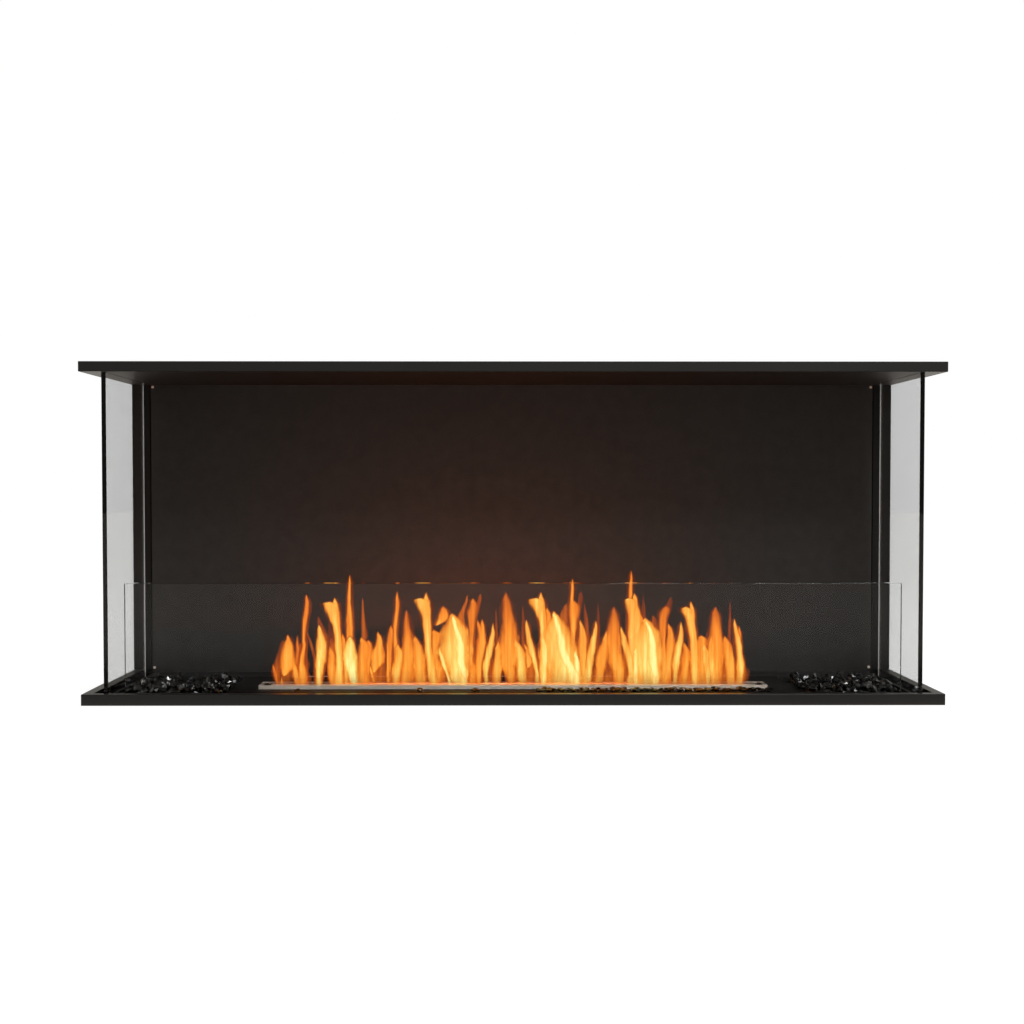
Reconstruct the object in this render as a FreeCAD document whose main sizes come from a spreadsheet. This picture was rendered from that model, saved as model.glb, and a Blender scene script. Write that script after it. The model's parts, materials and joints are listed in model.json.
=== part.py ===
import FreeCAD, Part
import math
import os
import random
import re

import Sketcher

# Three-sided bioethanol fireplace insert: a folded steel base tray and top plate joined by a
# double-skinned back wall, clear side panes, a low front screen, a slim slot burner and a box of
# black glass chunks at each end. Millimetres; origin under the middle of the base, front to -Y.

SIZES = [
    ("overall_width", 1524, "over the top plate and the base tray"),
    ("overall_depth", 440, "front edge to back edge"),
    ("overall_height", 605, "underside of the tray to the top face"),
    ("top_height", 18, "edge of the top plate"),
    ("tray_height", 20, "edge of the base tray"),
    ("rim_width", 18, "inward flange round the tray's mouth"),
    ("steel", 1.5, "folded sheet of the tray, top, stiles and rails"),
    ("bend_radius", 1, "outer radius of the visible folds"),
    ("base_hole_radius", 3.5, "screw-down holes in the tray floor"),
    ("base_hole_spacing", 300, "front to back between the screw-down holes"),
    ("deck_height", 15, "top of the deck above the floor"),
    ("module_gap", 1, "slack between the pieces that drop into the tray"),
    ("module_depth", 255, "front to back of the burner cover and media boxes"),
    ("box_wall", 1.2, "sheet of the media boxes"),
    ("pane_inset", 36, "side edge of the tray to the outer face of the pane"),
    ("pane_thickness", 8, "side glass"),
    ("pane_length", 322, "side glass, front to back"),
    ("pane_front_gap", 1, "tray rim to the front edge of the side glass"),
    ("pane_bite", 10, "side glass held inside the top plate"),
    ("arris", 0.8, "ground edge of the glass"),
    ("gasket", 1.2, "silicone strip round the glass edges"),
    ("channel_steel", 1.5, "sheet of the glass channels"),
    ("channel_height", 11, "glass channels in the tray"),
    ("screen_inset", 60, "front edge of the tray to the middle of the front glass"),
    ("screen_end_gap", 18.3, "side glass channel to the end of the front glass"),
    ("screen_height", 208, "front glass"),
    ("screen_thickness", 6, "front glass"),
    ("screen_slip", 0.2, "slack beside the front glass in its gasket"),
    ("back_wall_depth", 30, "face of the back panel to the back edge"),
    ("panel_thickness", 9, "coated fibre-cement back panel"),
    ("panel_gap", 2, "shadow gap between panel and stile"),
    ("stile_width", 41.5, "upright at each end of the back wall"),
    ("cover_steel", 1.2, "sheet of the rear cover"),
    ("rail_height", 30, "cross rails of the back wall"),
    ("rail_overlap", 20, "rail end inside the stile"),
    ("fibre_gap", 1, "slack round the insulation"),
    ("fibre_top", 10, "insulation board in the top plate"),
    ("stiffener_width", 40, "bars under the top sheet"),
    ("stiffener_spacing", 460, "between the bars under the top sheet"),
    ("screw_slack", 0.2, "hole radius over screw radius"),
    ("panel_screw_radius", 1.5, "screws at the corners of the back panel"),
    ("panel_head_radius", 2.6, "their heads"),
    ("panel_head_height", 1.6, "their heads"),
    ("panel_screw_inset", 4, "panel edge to screw"),
    ("panel_screw_length", 13, "shank behind the head"),
    ("cover_screw_radius", 2, "screws of the rear cover"),
    ("cover_head_radius", 4, "their heads"),
    ("cover_head_height", 2.2, "their heads"),
    ("cover_screw_length", 7, "shank under the head"),
    ("cover_screw_inset", 12, "inner edge of the stile to the end screws"),
    ("bolt_radius", 2.5, "bolts between rails, tray and top"),
    ("bolt_head_radius", 4.6, "over the corners of bolt heads and nuts"),
    ("bolt_head_height", 3.5, "bolt heads"),
    ("bolt_nut_height", 4, "nuts"),
    ("bolt_inset", 80.5, "end of a rail to its outer bolt"),
    ("wall_bolt_radius", 4, "thread of the weld nuts for wall fixing"),
    ("wall_nut_radius", 7.5, "over the corners of the weld nuts"),
    ("wall_nut_height", 6.5, "weld nuts"),
    ("wall_hole_slack", 0.5, "hole radius over wall bolt radius"),
    ("wall_hole_spacing", 370, "between the lower and upper wall fixings"),
    ("frame_length", 932, "stainless burner frame, left to right"),
    ("frame_depth", 65, "stainless burner frame, front to back"),
    ("frame_setback", 47, "front of the burner cover to the frame"),
    ("frame_end_margin", 49.3, "end of the burner cover to the frame"),
    ("frame_rise", 7, "frame above the deck"),
    ("frame_sheet", 1.5, "sheet of the frame"),
    ("frame_lip_gap", 0.5, "deck to the turned-down edge of the frame"),
    ("frame_corner", 4, "corner radius of the frame"),
    ("slot_inset", 28, "end of the frame to the flame slot"),
    ("slot_width", 14, "flame slot"),
    ("end_slot_width", 15, "slot for the shutter knob at each end"),
    ("end_slot_length", 34, "slot for the shutter knob, front to back"),
    ("knob_inset", 14, "end of the frame to the middle of the knob"),
    ("neck_clearance", 3.4, "burner neck to the turned-down edge of the frame"),
    ("neck_slack", 0.5, "opening in the cover round the neck"),
    ("tank_wall", 1.2, "sheet of the tank and neck"),
    ("tank_inset", 11, "front of the burner cover to the tank"),
    ("tank_depth", 180, "fuel tank, front to back"),
    ("wick_gap", 1, "slack round the wick and its grate"),
    ("grate_thickness", 1, "perforated strip on the wick"),
    ("grate_hole_length", 24, "openings of the perforated strip"),
    ("grate_hole_pitch", 30, "openings of the perforated strip"),
    ("shutter_width", 19, "sliding shutter, front to back"),
    ("shutter_thickness", 1.2, "sliding shutter"),
    ("shutter_gap", 0.5, "parked shutter to the neck"),
    ("shutter_clearance", 1, "shutter to the frame above it"),
    ("shutter_rail_height", 1.3, "runners under the shutter"),
    ("shutter_rail_width", 6, "runners under the shutter"),
    ("shutter_rail_spacing", 220, "between the runners"),
    ("knob_pin_radius", 2.5, "stem of the shutter knobs"),
    ("knob_radius", 4, "shutter knobs"),
    ("knob_height", 2.4, "shutter knobs"),
    ("knob_lift", 0.6, "knob above the frame"),
    ("stone_pitch", 28, "room for one glass chunk in the boxes"),
    ("stone_height", 11, "tallest glass chunk"),
    ("front_stone_pitch", 17, "room for one glass chunk in front of the burner"),
    ("front_stones_from", 50, "first chunk of the row in front of the burner"),
    ("front_stones_to", 345, "last chunk of the row in front of the burner"),
    ("front_stone_depth", 27, "room for one such chunk, front to back"),
    ("stray_stone_left", -374, "a chunk by itself in front of the burner"),
    ("stray_stone_middle", -51, "a chunk by itself in front of the burner"),
    ("stray_stone_right", 390, "a chunk by itself in front of the burner"),
    ("stray_stone_end", 424, "a chunk by itself in front of the burner"),
]

# Places worked out from the sizes.
PLACES = {
    "half_width": "overall_width / 2",
    "front_y": "-overall_depth / 2",
    "back_y": "overall_depth / 2",
    "top_low": "overall_height - top_height",
    "rim_low": "tray_height - steel",
    "panel_front": "back_y - back_wall_depth",
    "panel_back": "panel_front + panel_thickness",
    "panel_half": "stile_inner - panel_gap",
    "cover_back": "back_y - cover_head_height",
    "cover_front": "cover_back - cover_steel",
    "stile_inner": "half_width - stile_width",
    "stile_flange": "cover_front - steel",
    "rail_half": "stile_inner + rail_overlap",
    "rail_top_low": "top_low - rail_height",
    "rail_base_high": "tray_height + rail_height",
    "bolt_spacing": "2 * (rail_half - bolt_inset) / 3",
    "rail_middle": "(panel_back + stile_flange) / 2",
    "pane_outer": "half_width - pane_inset",
    "pane_inner": "pane_outer - pane_thickness",
    "pane_front": "front_y + rim_width + pane_front_gap",
    "pane_back": "pane_front + pane_length",
    "pane_low": "steel + channel_steel + gasket",
    "pane_high": "top_low + pane_bite",
    "channel_inner": "pane_inner - gasket - channel_steel",
    "channel_outer": "pane_outer + gasket + channel_steel",
    "channel_high": "steel + channel_height",
    "screen_middle": "front_y + screen_inset",
    "screen_half": "channel_inner - screen_end_gap",
    "screen_bite_half": "screen_thickness / 2 + screen_slip",
    "screen_channel_half": "screen_bite_half + gasket + channel_steel",
    "module_front": "screen_middle + screen_channel_half + module_gap",
    "module_back": "module_front + module_depth",
    "box_outer": "channel_inner - module_gap",
    "box_inner": "cover_half + module_gap",
    "box_width": "box_outer - box_inner",
    "cover_half": "frame_half + frame_end_margin",
    "deck_low": "deck_height - steel",
    "rear_deck_front": "module_back + module_gap",
    "rear_deck_back": "min(back_y - rim_width; rail_middle - bolt_head_radius) - module_gap",
    "base_hole_x": "(channel_outer + half_width - rim_width) / 2",
    "liner_high": "top_low + steel",
    "fibre_high": "liner_high + fibre_top",
    "top_inside": "overall_height - steel",
    "wall_hole_x": "half_width - stile_width / 2",
    "wall_hole_middle": "(tray_height + top_low) / 2",
    "cover_screw_x": "stile_inner + cover_screw_inset",
    "frame_half": "frame_length / 2",
    "frame_front": "module_front + frame_setback",
    "frame_back": "frame_front + frame_depth",
    "frame_middle": "frame_front + frame_depth / 2",
    "frame_high": "deck_height + frame_rise",
    "frame_under": "frame_high - frame_sheet",
    "slot_length": "frame_length - 2 * slot_inset",
    "neck_inset": "max(neck_edge; frame_corner - (frame_corner - neck_edge) * 0.5 ^ 0.5)",
    "neck_edge": "frame_sheet + neck_clearance",
    "neck_half": "frame_half - neck_inset",
    "neck_front": "frame_front + neck_inset",
    "neck_back": "frame_back - neck_inset",
    "tank_front": "module_front + tank_inset",
    "tank_back": "tank_front + tank_depth",
    "tank_floor": "steel + tank_wall",
    "shutter_high": "frame_under - shutter_clearance",
    "shutter_low": "shutter_high - shutter_thickness",
    "shutter_front": "neck_front + tank_wall + shutter_gap",
    "shutter_back": "shutter_front + shutter_width",
    "shutter_half": "neck_half - tank_wall - wick_gap",
    "grate_high": "shutter_low - shutter_rail_height",
    "grate_low": "grate_high - grate_thickness",
    "wick_half": "neck_half - tank_wall - wick_gap",
    "wick_front": "neck_front + tank_wall + wick_gap",
    "wick_back": "neck_back - tank_wall - wick_gap",
    "knob_x": "frame_half - knob_inset",
    "knob_y": "(shutter_front + shutter_back) / 2",
    "end_slot_middle": "(knob_y + frame_middle) / 2",
}

doc = FreeCAD.newDocument("FireplaceInsert")
sheet = doc.addObject("Spreadsheet::Sheet", "Sizes")
for row, (alias, millimetres, meaning) in enumerate(SIZES, start=1):
    sheet.set(f"A{row}", meaning)
    sheet.set(f"B{row}", str(millimetres))
    sheet.setAlias(f"B{row}", alias)
doc.recompute()

pieces = []


# Formulas

def formula(text):
    """Spell out a formula of sizes and places in terms of the sheet's cells."""
    def spell(match):
        word = match.group()
        if word in ("min", "max"):
            return word
        if word in PLACES:
            return "(" + formula(PLACES[word]) + ")"
        return "Sizes." + word
    return re.sub(r"[a-z][a-z_]*", spell, text)


def value(text):
    """Return a formula's value in millimetres."""
    return float(sheet.evalExpression(formula(text)))


def bind(thing, name, text):
    """Tie a property to a formula."""
    thing.setExpression(name, formula(text))


def mirrored(side, low, high):
    """Return a span on the right (side 1), or the same span on the left (side -1)."""
    if side > 0:
        return low, high
    return f"-({high})", f"-({low})"


def keep(thing):
    """List an object as a piece of the insert: its label names its file."""
    pieces.append(thing)
    return thing


# Sketched bodies

PLANES = {"x": ("YZ_Plane", 1), "y": ("XZ_Plane", -1), "z": ("XY_Plane", 1)}


def sketch_on(body, axis, level):
    """Start a sketch on the body's own plane across an axis, at a level along it."""
    role, sign = PLANES[axis]
    sketch = body.newObject("Sketcher::SketchObject", body.Name + "_sketch")
    plane = next(item for item in body.Origin.OriginFeatures if item.Role == role)
    sketch.AttachmentSupport = [(plane, "")]
    sketch.MapMode = "FlatFace"
    bind(sketch, "AttachmentOffset.Base.z", f"{sign} * ({level})")
    return sketch


def pin_point(sketch, item, point, place):
    """Fix a sketch point at a pair of formulas."""
    for kind, text in zip(("DistanceX", "DistanceY"), place):
        rule = Sketcher.Constraint(kind, -1, 1, item, point, value(text))
        bind(sketch, f"Constraints[{sketch.addConstraint(rule)}]", text)


def fix_radius(sketch, item, text):
    """Fix a circle's or arc's radius at a formula."""
    rule = Sketcher.Constraint("Radius", item, value(text))
    bind(sketch, f"Constraints[{sketch.addConstraint(rule)}]", text)


def vector(place):
    """Return a sketch point's present place."""
    return FreeCAD.Vector(value(place[0]), value(place[1]), 0)


def arc(centre, radius, start, end):
    """Return an arc between two angles in degrees."""
    circle = Part.Circle(vector(centre), FreeCAD.Vector(0, 0, 1), value(radius))
    return Part.ArcOfCircle(circle, math.radians(start), math.radians(end))


def draw_polygon(sketch, corners):
    """Draw a closed outline with each corner tied to its formulas."""
    count = len(corners)
    first = sketch.GeometryCount
    for index, corner in enumerate(corners):
        following = corners[(index + 1) % count]
        sketch.addGeometry(Part.LineSegment(vector(corner), vector(following)), False)
    for index, corner in enumerate(corners):
        line, following = first + index, first + (index + 1) % count
        sketch.addConstraint(Sketcher.Constraint("Coincident", line, 2, following, 1))
        pin_point(sketch, line, 1, corner)


def draw_rounded(sketch, low, high, radius):
    """Draw a rectangle with rounded corners between two corner points."""
    (left, bottom), (right, top) = low, high
    first = sketch.GeometryCount
    centres = [
        (f"({right}) - ({radius})", f"({top}) - ({radius})"),
        (f"({left}) + ({radius})", f"({top}) - ({radius})"),
        (f"({left}) + ({radius})", f"({bottom}) + ({radius})"),
        (f"({right}) - ({radius})", f"({bottom}) + ({radius})"),
    ]
    corners = [sketch.addGeometry(arc(centre, radius, 90 * turn, 90 * turn + 90), False)
               for turn, centre in enumerate(centres)]
    sides = []
    for turn in range(4):
        start = sketch.Geometry[corners[turn]].EndPoint
        end = sketch.Geometry[corners[(turn + 1) % 4]].StartPoint
        sides.append(sketch.addGeometry(Part.LineSegment(start, end), False))
    for turn in range(4):
        sketch.addConstraint(Sketcher.Constraint("Tangent", corners[turn], 2, sides[turn], 1))
        sketch.addConstraint(Sketcher.Constraint("Tangent", sides[turn], 2, corners[(turn + 1) % 4], 1))
    for item, centre in zip(corners, centres):
        pin_point(sketch, item, 3, centre)
    fix_radius(sketch, first, radius)


def draw_slot(sketch, centre, length, width, along):
    """Draw a round-ended slot, its length running along the sketch's x or y."""
    reach = f"(({length}) - ({width})) / 2"
    radius = f"({width}) / 2"
    turn = 0 if along == "x" else 90
    ends = []
    for sign in ("+", "-"):
        shift = f"{sign} {reach}"
        spot = (centre[0] + shift, centre[1]) if along == "x" else (centre[0], centre[1] + shift)
        ends.append(spot)
    far = sketch.addGeometry(arc(ends[0], radius, turn - 90, turn + 90), False)
    near = sketch.addGeometry(arc(ends[1], radius, turn + 90, turn + 270), False)
    for start, end in ((far, near), (near, far)):
        line = Part.LineSegment(sketch.Geometry[start].EndPoint, sketch.Geometry[end].StartPoint)
        item = sketch.addGeometry(line, False)
        sketch.addConstraint(Sketcher.Constraint("Tangent", start, 2, item, 1))
        sketch.addConstraint(Sketcher.Constraint("Tangent", item, 2, end, 1))
    pin_point(sketch, far, 3, ends[0])
    pin_point(sketch, near, 3, ends[1])
    fix_radius(sketch, far, radius)


def rectangle(across, up):
    """Return the corners of a rectangle from two spans."""
    (left, right), (low, high) = across, up
    return [(left, low), (right, low), (right, high), (left, high)]


def channel(base, lip, low, high, wall, sideways=False):
    """Return the corners of a U profile closed at base and open at lip, between low and high."""
    inward = "+" if value(base) < value(lip) else "-"
    inner = f"({base}) {inward} {wall}"
    near, far = f"({low}) + {wall}", f"({high}) - {wall}"
    corners = [(low, base), (high, base), (high, lip), (far, lip), (far, inner), (near, inner),
               (near, lip), (low, lip)]
    if sideways:
        return [(v, u) for u, v in corners]
    return corners


def pad(body, axis, span, draw):
    """Raise what draw(sketch) draws over a span along an axis."""
    low, high = span
    sketch = sketch_on(body, axis, high if axis == "y" else low)
    draw(sketch)
    feature = body.newObject("PartDesign::Pad", body.Name + "_pad")
    feature.Profile = sketch
    bind(feature, "Length", f"({high}) - ({low})")
    return feature


def pocket(body, axis, span, draw):
    """Cut away what draw(sketch) draws over a span along an axis, and return the feature."""
    low, high = span
    sketch = sketch_on(body, axis, low if axis == "y" else high)
    draw(sketch)
    feature = body.newObject("PartDesign::Pocket", body.Name + "_pocket")
    feature.Profile = sketch
    bind(feature, "Length", f"({high}) - ({low})")
    return feature


def extrusion(label, axis, span, corners):
    """Make a body from one outline raised along an axis."""
    body = keep(doc.addObject("PartDesign::Body", label))
    pad(body, axis, span, lambda sketch: draw_polygon(sketch, corners))
    return body


def hollow(body, axis, span, corners):
    """Cut a straight-sided hollow."""
    pocket(body, axis, span, lambda sketch: draw_polygon(sketch, corners))


def drill(body, axis, span, radius, spots):
    """Cut round holes."""
    def draw(sketch):
        for spot in spots:
            circle = Part.Circle(vector(spot), FreeCAD.Vector(0, 0, 1), value(radius))
            item = sketch.addGeometry(circle, False)
            pin_point(sketch, item, 3, spot)
            fix_radius(sketch, item, radius)
    pocket(body, axis, span, draw)


def round_edges(body, radius, chosen):
    """Round the body's straight edges for which chosen(start, end) is true."""
    doc.recompute()
    tip = body.Tip
    names = [f"Edge{number}" for number, edge in enumerate(tip.Shape.Edges, start=1)
             if len(edge.Vertexes) == 2 and chosen(edge.Vertexes[0].Point, edge.Vertexes[1].Point)]
    feature = body.newObject("PartDesign::Fillet", body.Name + "_fold")
    feature.Base = (tip, names)
    bind(feature, "Radius", radius)


def grind_edges(body):
    """Take the sharp arris off every edge of a glass plate."""
    doc.recompute()
    tip = body.Tip
    feature = body.newObject("PartDesign::Chamfer", body.Name + "_arris")
    feature.Base = (tip, [f"Edge{number + 1}" for number in range(len(tip.Shape.Edges))])
    bind(feature, "Size", "arris")


# Plain solids and groups

def block(label, x, y, z):
    """Make a box between pairs of formulas."""
    box = doc.addObject("Part::Box", label)
    for side, axis, (low, high) in zip(("Length", "Width", "Height"), "xyz", (x, y, z)):
        bind(box, side, f"({high}) - ({low})")
        bind(box, "Placement.Base." + axis, low)
    return box


TURNS = {
    "+z": FreeCAD.Rotation(),
    "-z": FreeCAD.Rotation(FreeCAD.Vector(1, 0, 0), 180),
    "+y": FreeCAD.Rotation(FreeCAD.Vector(1, 0, 0), -90),
    "-y": FreeCAD.Rotation(FreeCAD.Vector(1, 0, 0), 90),
}


def rod(label, kind, place, way, radius, length):
    """Make a round ("Part::Cylinder") or hexagonal ("Part::Prism") rod from a place, one way."""
    item = doc.addObject(kind, label)
    if kind == "Part::Prism":
        item.Polygon = 6
        bind(item, "Circumradius", radius)
    else:
        bind(item, "Radius", radius)
    bind(item, "Height", length)
    item.Placement.Rotation = TURNS[way]
    for axis, text in zip("xyz", place):
        bind(item, "Placement.Base." + axis, text)
    return item


def joined(label, first, second):
    """Fuse two solids."""
    fused = doc.addObject("Part::Fuse", label)
    fused.Base = first
    fused.Tool = second
    return fused


def bored(label, solid, tool):
    """Cut one solid out of another."""
    result = doc.addObject("Part::Cut", label)
    result.Base = solid
    result.Tool = tool
    return result


def group(label, members):
    """Keep several separate solids as one piece."""
    compound = keep(doc.addObject("Part::Compound", label))
    compound.Links = members
    return compound


# Base tray and rear deck

BASE_HOLES = [(x, y) for x in ("base_hole_x", "-base_hole_x")
              for y in ("base_hole_spacing / 2", "-base_hole_spacing / 2")]
BOLT_XS = [f"{steps} * bolt_spacing" for steps in (-1.5, -0.5, 0.5, 1.5)]
BOLT_SPOTS = [(x, "rail_middle") for x in BOLT_XS]
BOLT_HOLE = "bolt_radius + screw_slack"


def make_tray():
    """The folded pan that everything stands in, with an inward rim round its mouth."""
    outer = rectangle(("-half_width", "half_width"), ("front_y", "back_y"))
    tray = extrusion("base_tray", "z", ("0", "tray_height"), outer)
    mouth = rectangle(("-half_width + rim_width", "half_width - rim_width"),
                      ("front_y + rim_width", "back_y - rim_width"))
    hollow(tray, "z", ("steel", "tray_height"), mouth)
    inside = rectangle(("-half_width + steel", "half_width - steel"), ("front_y + steel", "back_y - steel"))
    hollow(tray, "z", ("steel", "rim_low"), inside)
    drill(tray, "z", ("0", "steel"), "base_hole_radius", BASE_HOLES)
    drill(tray, "z", ("rim_low", "tray_height"), BOLT_HOLE, BOLT_SPOTS)
    round_edges(tray, "bend_radius", on_outline("0", "tray_height"))


def on_outline(low, high):
    """Choose the edges along the outer corners of a full-width plate between two levels."""
    tiny = 1e-4
    half_width, half_depth = value("half_width"), value("back_y")
    levels = (value(low), value(high))

    def at_outline(point):
        return abs(abs(point.x) - half_width) < tiny or abs(abs(point.y) - half_depth) < tiny

    def chosen(start, end):
        level = any(abs(start.z - z) < tiny and abs(end.z - z) < tiny for z in levels)
        upright = abs(start.x - end.x) < tiny and abs(start.y - end.y) < tiny
        corner = abs(abs(start.x) - half_width) < tiny and abs(abs(start.y) - half_depth) < tiny
        return (level and at_outline(start) and at_outline(end)) or (upright and corner)
    return chosen


def make_rear_deck():
    """The folded strip of deck behind the burner and the media boxes."""
    profile = channel("deck_height", "steel", "rear_deck_front", "rear_deck_back", "steel")
    extrusion("rear_deck", "x", ("-box_outer", "box_outer"), profile)


# Glass, channels and gaskets

def make_side_glass(side, hand):
    """One side pane with the channels and gaskets that hold its lower and upper edges."""
    glass = mirrored(side, "pane_inner", "pane_outer")
    grip = mirrored(side, "pane_inner - gasket", "pane_outer + gasket")
    steelwork = mirrored(side, "channel_inner", "channel_outer")
    along = ("pane_front", "pane_back")

    pane = extrusion(f"side_glass_{hand}", "x", glass, rectangle(along, ("pane_low", "pane_high")))
    grind_edges(pane)

    floor = "steel + channel_steel"
    extrusion(f"side_channel_{hand}", "y", along,
              channel("steel", "channel_high", *steelwork, "channel_steel"))
    extrusion(f"lower_gasket_{hand}", "y", along, channel(floor, "channel_high", *grip, "gasket"))

    roof = "pane_high + gasket"
    extrusion(f"top_channel_{hand}", "y", along,
              channel(f"{roof} + channel_steel", "liner_high", *steelwork, "channel_steel"))
    extrusion(f"upper_gasket_{hand}", "y", along, channel(roof, "top_low", *grip, "gasket"))


def make_front_screen():
    """The low front glass, which lifts out of a channel behind the front rim."""
    along = ("-screen_half", "screen_half")
    thickness = ("screen_middle - screen_thickness / 2", "screen_middle + screen_thickness / 2")
    screen = extrusion("front_glass", "y", thickness,
                       rectangle(along, ("pane_low", "pane_low + screen_height")))
    grind_edges(screen)

    outer = ("screen_middle - screen_channel_half", "screen_middle + screen_channel_half")
    extrusion("front_channel", "x", along, channel("steel", "channel_high", *outer, "channel_steel"))
    grip = ("screen_middle - screen_bite_half - gasket", "screen_middle + screen_bite_half + gasket")
    extrusion("front_gasket", "x", along,
              channel("steel + channel_steel", "channel_high", *grip, "gasket"))


# Top plate

def make_top():
    """The hollow top plate: shell, underside liner, insulation and stiffening bars."""
    outer = rectangle(("-half_width", "half_width"), ("front_y", "back_y"))
    inside = rectangle(("-half_width + steel", "half_width - steel"), ("front_y + steel", "back_y - steel"))
    shell = extrusion("top_shell", "z", ("top_low", "overall_height"), outer)
    hollow(shell, "z", ("top_low", "top_inside"), inside)
    round_edges(shell, "bend_radius", on_outline("overall_height", "top_low"))

    liner = extrusion("top_liner", "z", ("top_low", "liner_high"), inside)
    for side in (1, -1):
        slot = mirrored(side, "pane_inner - gasket", "pane_outer + gasket")
        hollow(liner, "z", ("top_low", "liner_high"), rectangle(slot, ("pane_front", "pane_back")))
    drill(liner, "z", ("top_low", "liner_high"), BOLT_HOLE, BOLT_SPOTS)

    fibre_half = "channel_inner - fibre_gap"
    keep(block("top_insulation", (f"-({fibre_half})", fibre_half),
               ("front_y + steel + fibre_gap", "panel_front"), ("liner_high", "fibre_high")))
    bars = []
    for steps in (-1, 0, 1):
        middle = f"{steps} * stiffener_spacing"
        bars.append(block(f"stiffener_{steps + 2}",
                          (f"{middle} - stiffener_width / 2", f"{middle} + stiffener_width / 2"),
                          ("front_y + steel + fibre_gap", "panel_front"), ("fibre_high", "top_inside")))
    group("top_stiffeners", bars)


# Back wall

WALL_ZS = ["wall_hole_middle - wall_hole_spacing / 2", "wall_hole_middle + wall_hole_spacing / 2"]
WALL_HOLE = "wall_bolt_radius + wall_hole_slack"
COVER_HOLE = "cover_screw_radius + screw_slack"
PANEL_HOLE = "panel_screw_radius + screw_slack"
RAIL_MIDDLES = ["tray_height + rail_height / 2", "top_low - rail_height / 2"]
COVER_XS = ["-cover_screw_x", "-cover_screw_x / 2", "0", "cover_screw_x / 2", "cover_screw_x"]
PANEL_XS = ["-panel_half + panel_screw_inset", "panel_half - panel_screw_inset"]
PANEL_ZS = ["tray_height + panel_screw_inset", "top_low - panel_screw_inset"]


def make_stile(side, hand):
    """The folded upright at one end of the back wall."""
    profile = channel(f"{side} * half_width", f"{side} * stile_inner", "panel_front", "cover_front",
                      "steel", sideways=True)
    stile = extrusion(f"stile_{hand}", "z", ("tray_height", "top_low"), profile)
    flange = ("stile_flange", "cover_front")
    drill(stile, "y", flange, WALL_HOLE, [(f"{side} * wall_hole_x", z) for z in WALL_ZS])
    drill(stile, "y", flange, COVER_HOLE, [(f"{side} * cover_screw_x", z) for z in RAIL_MIDDLES])


def make_rail(label, base, lip, panel_z, cover_z):
    """A cross rail of the back wall, with holes for the panel, the cover and its bolts."""
    rail = extrusion(label, "x", ("-rail_half", "rail_half"),
                     channel(base, lip, "panel_back", "stile_flange", "steel"))
    drill(rail, "y", ("panel_back", "panel_back + steel"), PANEL_HOLE, [(x, panel_z) for x in PANEL_XS])
    drill(rail, "y", ("stile_flange - steel", "stile_flange"), COVER_HOLE, [(x, cover_z) for x in COVER_XS])
    web = f"{base} + steel" if value(base) < value(lip) else f"{base} - steel"
    drill(rail, "z", sorted((base, web), key=value), BOLT_HOLE, BOLT_SPOTS)


def make_back_wall():
    """Stiles, rails, the coated panel, its insulation and the rear cover."""
    make_stile(1, "right")
    make_stile(-1, "left")
    make_rail("back_rail_lower", "tray_height", "rail_base_high", PANEL_ZS[0], RAIL_MIDDLES[0])
    make_rail("back_rail_upper", "top_low", "rail_top_low", PANEL_ZS[1], RAIL_MIDDLES[1])

    upright = ("tray_height", "top_low")
    panel = extrusion("back_panel", "y", ("panel_front", "panel_back"),
                      rectangle(("-panel_half", "panel_half"), ("deck_height", "top_low")))
    drill(panel, "y", ("panel_front", "panel_back"), PANEL_HOLE,
          [(x, z) for x in PANEL_XS for z in PANEL_ZS])

    keep(block("back_insulation", ("-stile_inner + fibre_gap", "stile_inner - fibre_gap"),
               ("panel_back", "cover_front"), ("rail_base_high", "rail_top_low")))

    cover = extrusion("rear_cover", "y", ("cover_front", "cover_back"),
                      rectangle(("-half_width", "half_width"), upright))
    drill(cover, "y", ("cover_front", "cover_back"), WALL_HOLE,
          [(x, z) for x in ("-wall_hole_x", "wall_hole_x") for z in WALL_ZS])
    drill(cover, "y", ("cover_front", "cover_back"), COVER_HOLE,
          [(x, z) for x in COVER_XS for z in RAIL_MIDDLES])


# Fasteners

def screw(label, place, way, head, shank, kind="Part::Cylinder"):
    """A headed screw: its head stands one way from its seat and its shank goes the other."""
    back = {"-y": "+y", "+y": "-y", "+z": "-z"}[way]
    top = rod(label + "_head", kind, place, way, *head)
    stem = rod(label + "_shank", "Part::Cylinder", place, back, *shank)
    return joined(label, top, stem)


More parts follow.
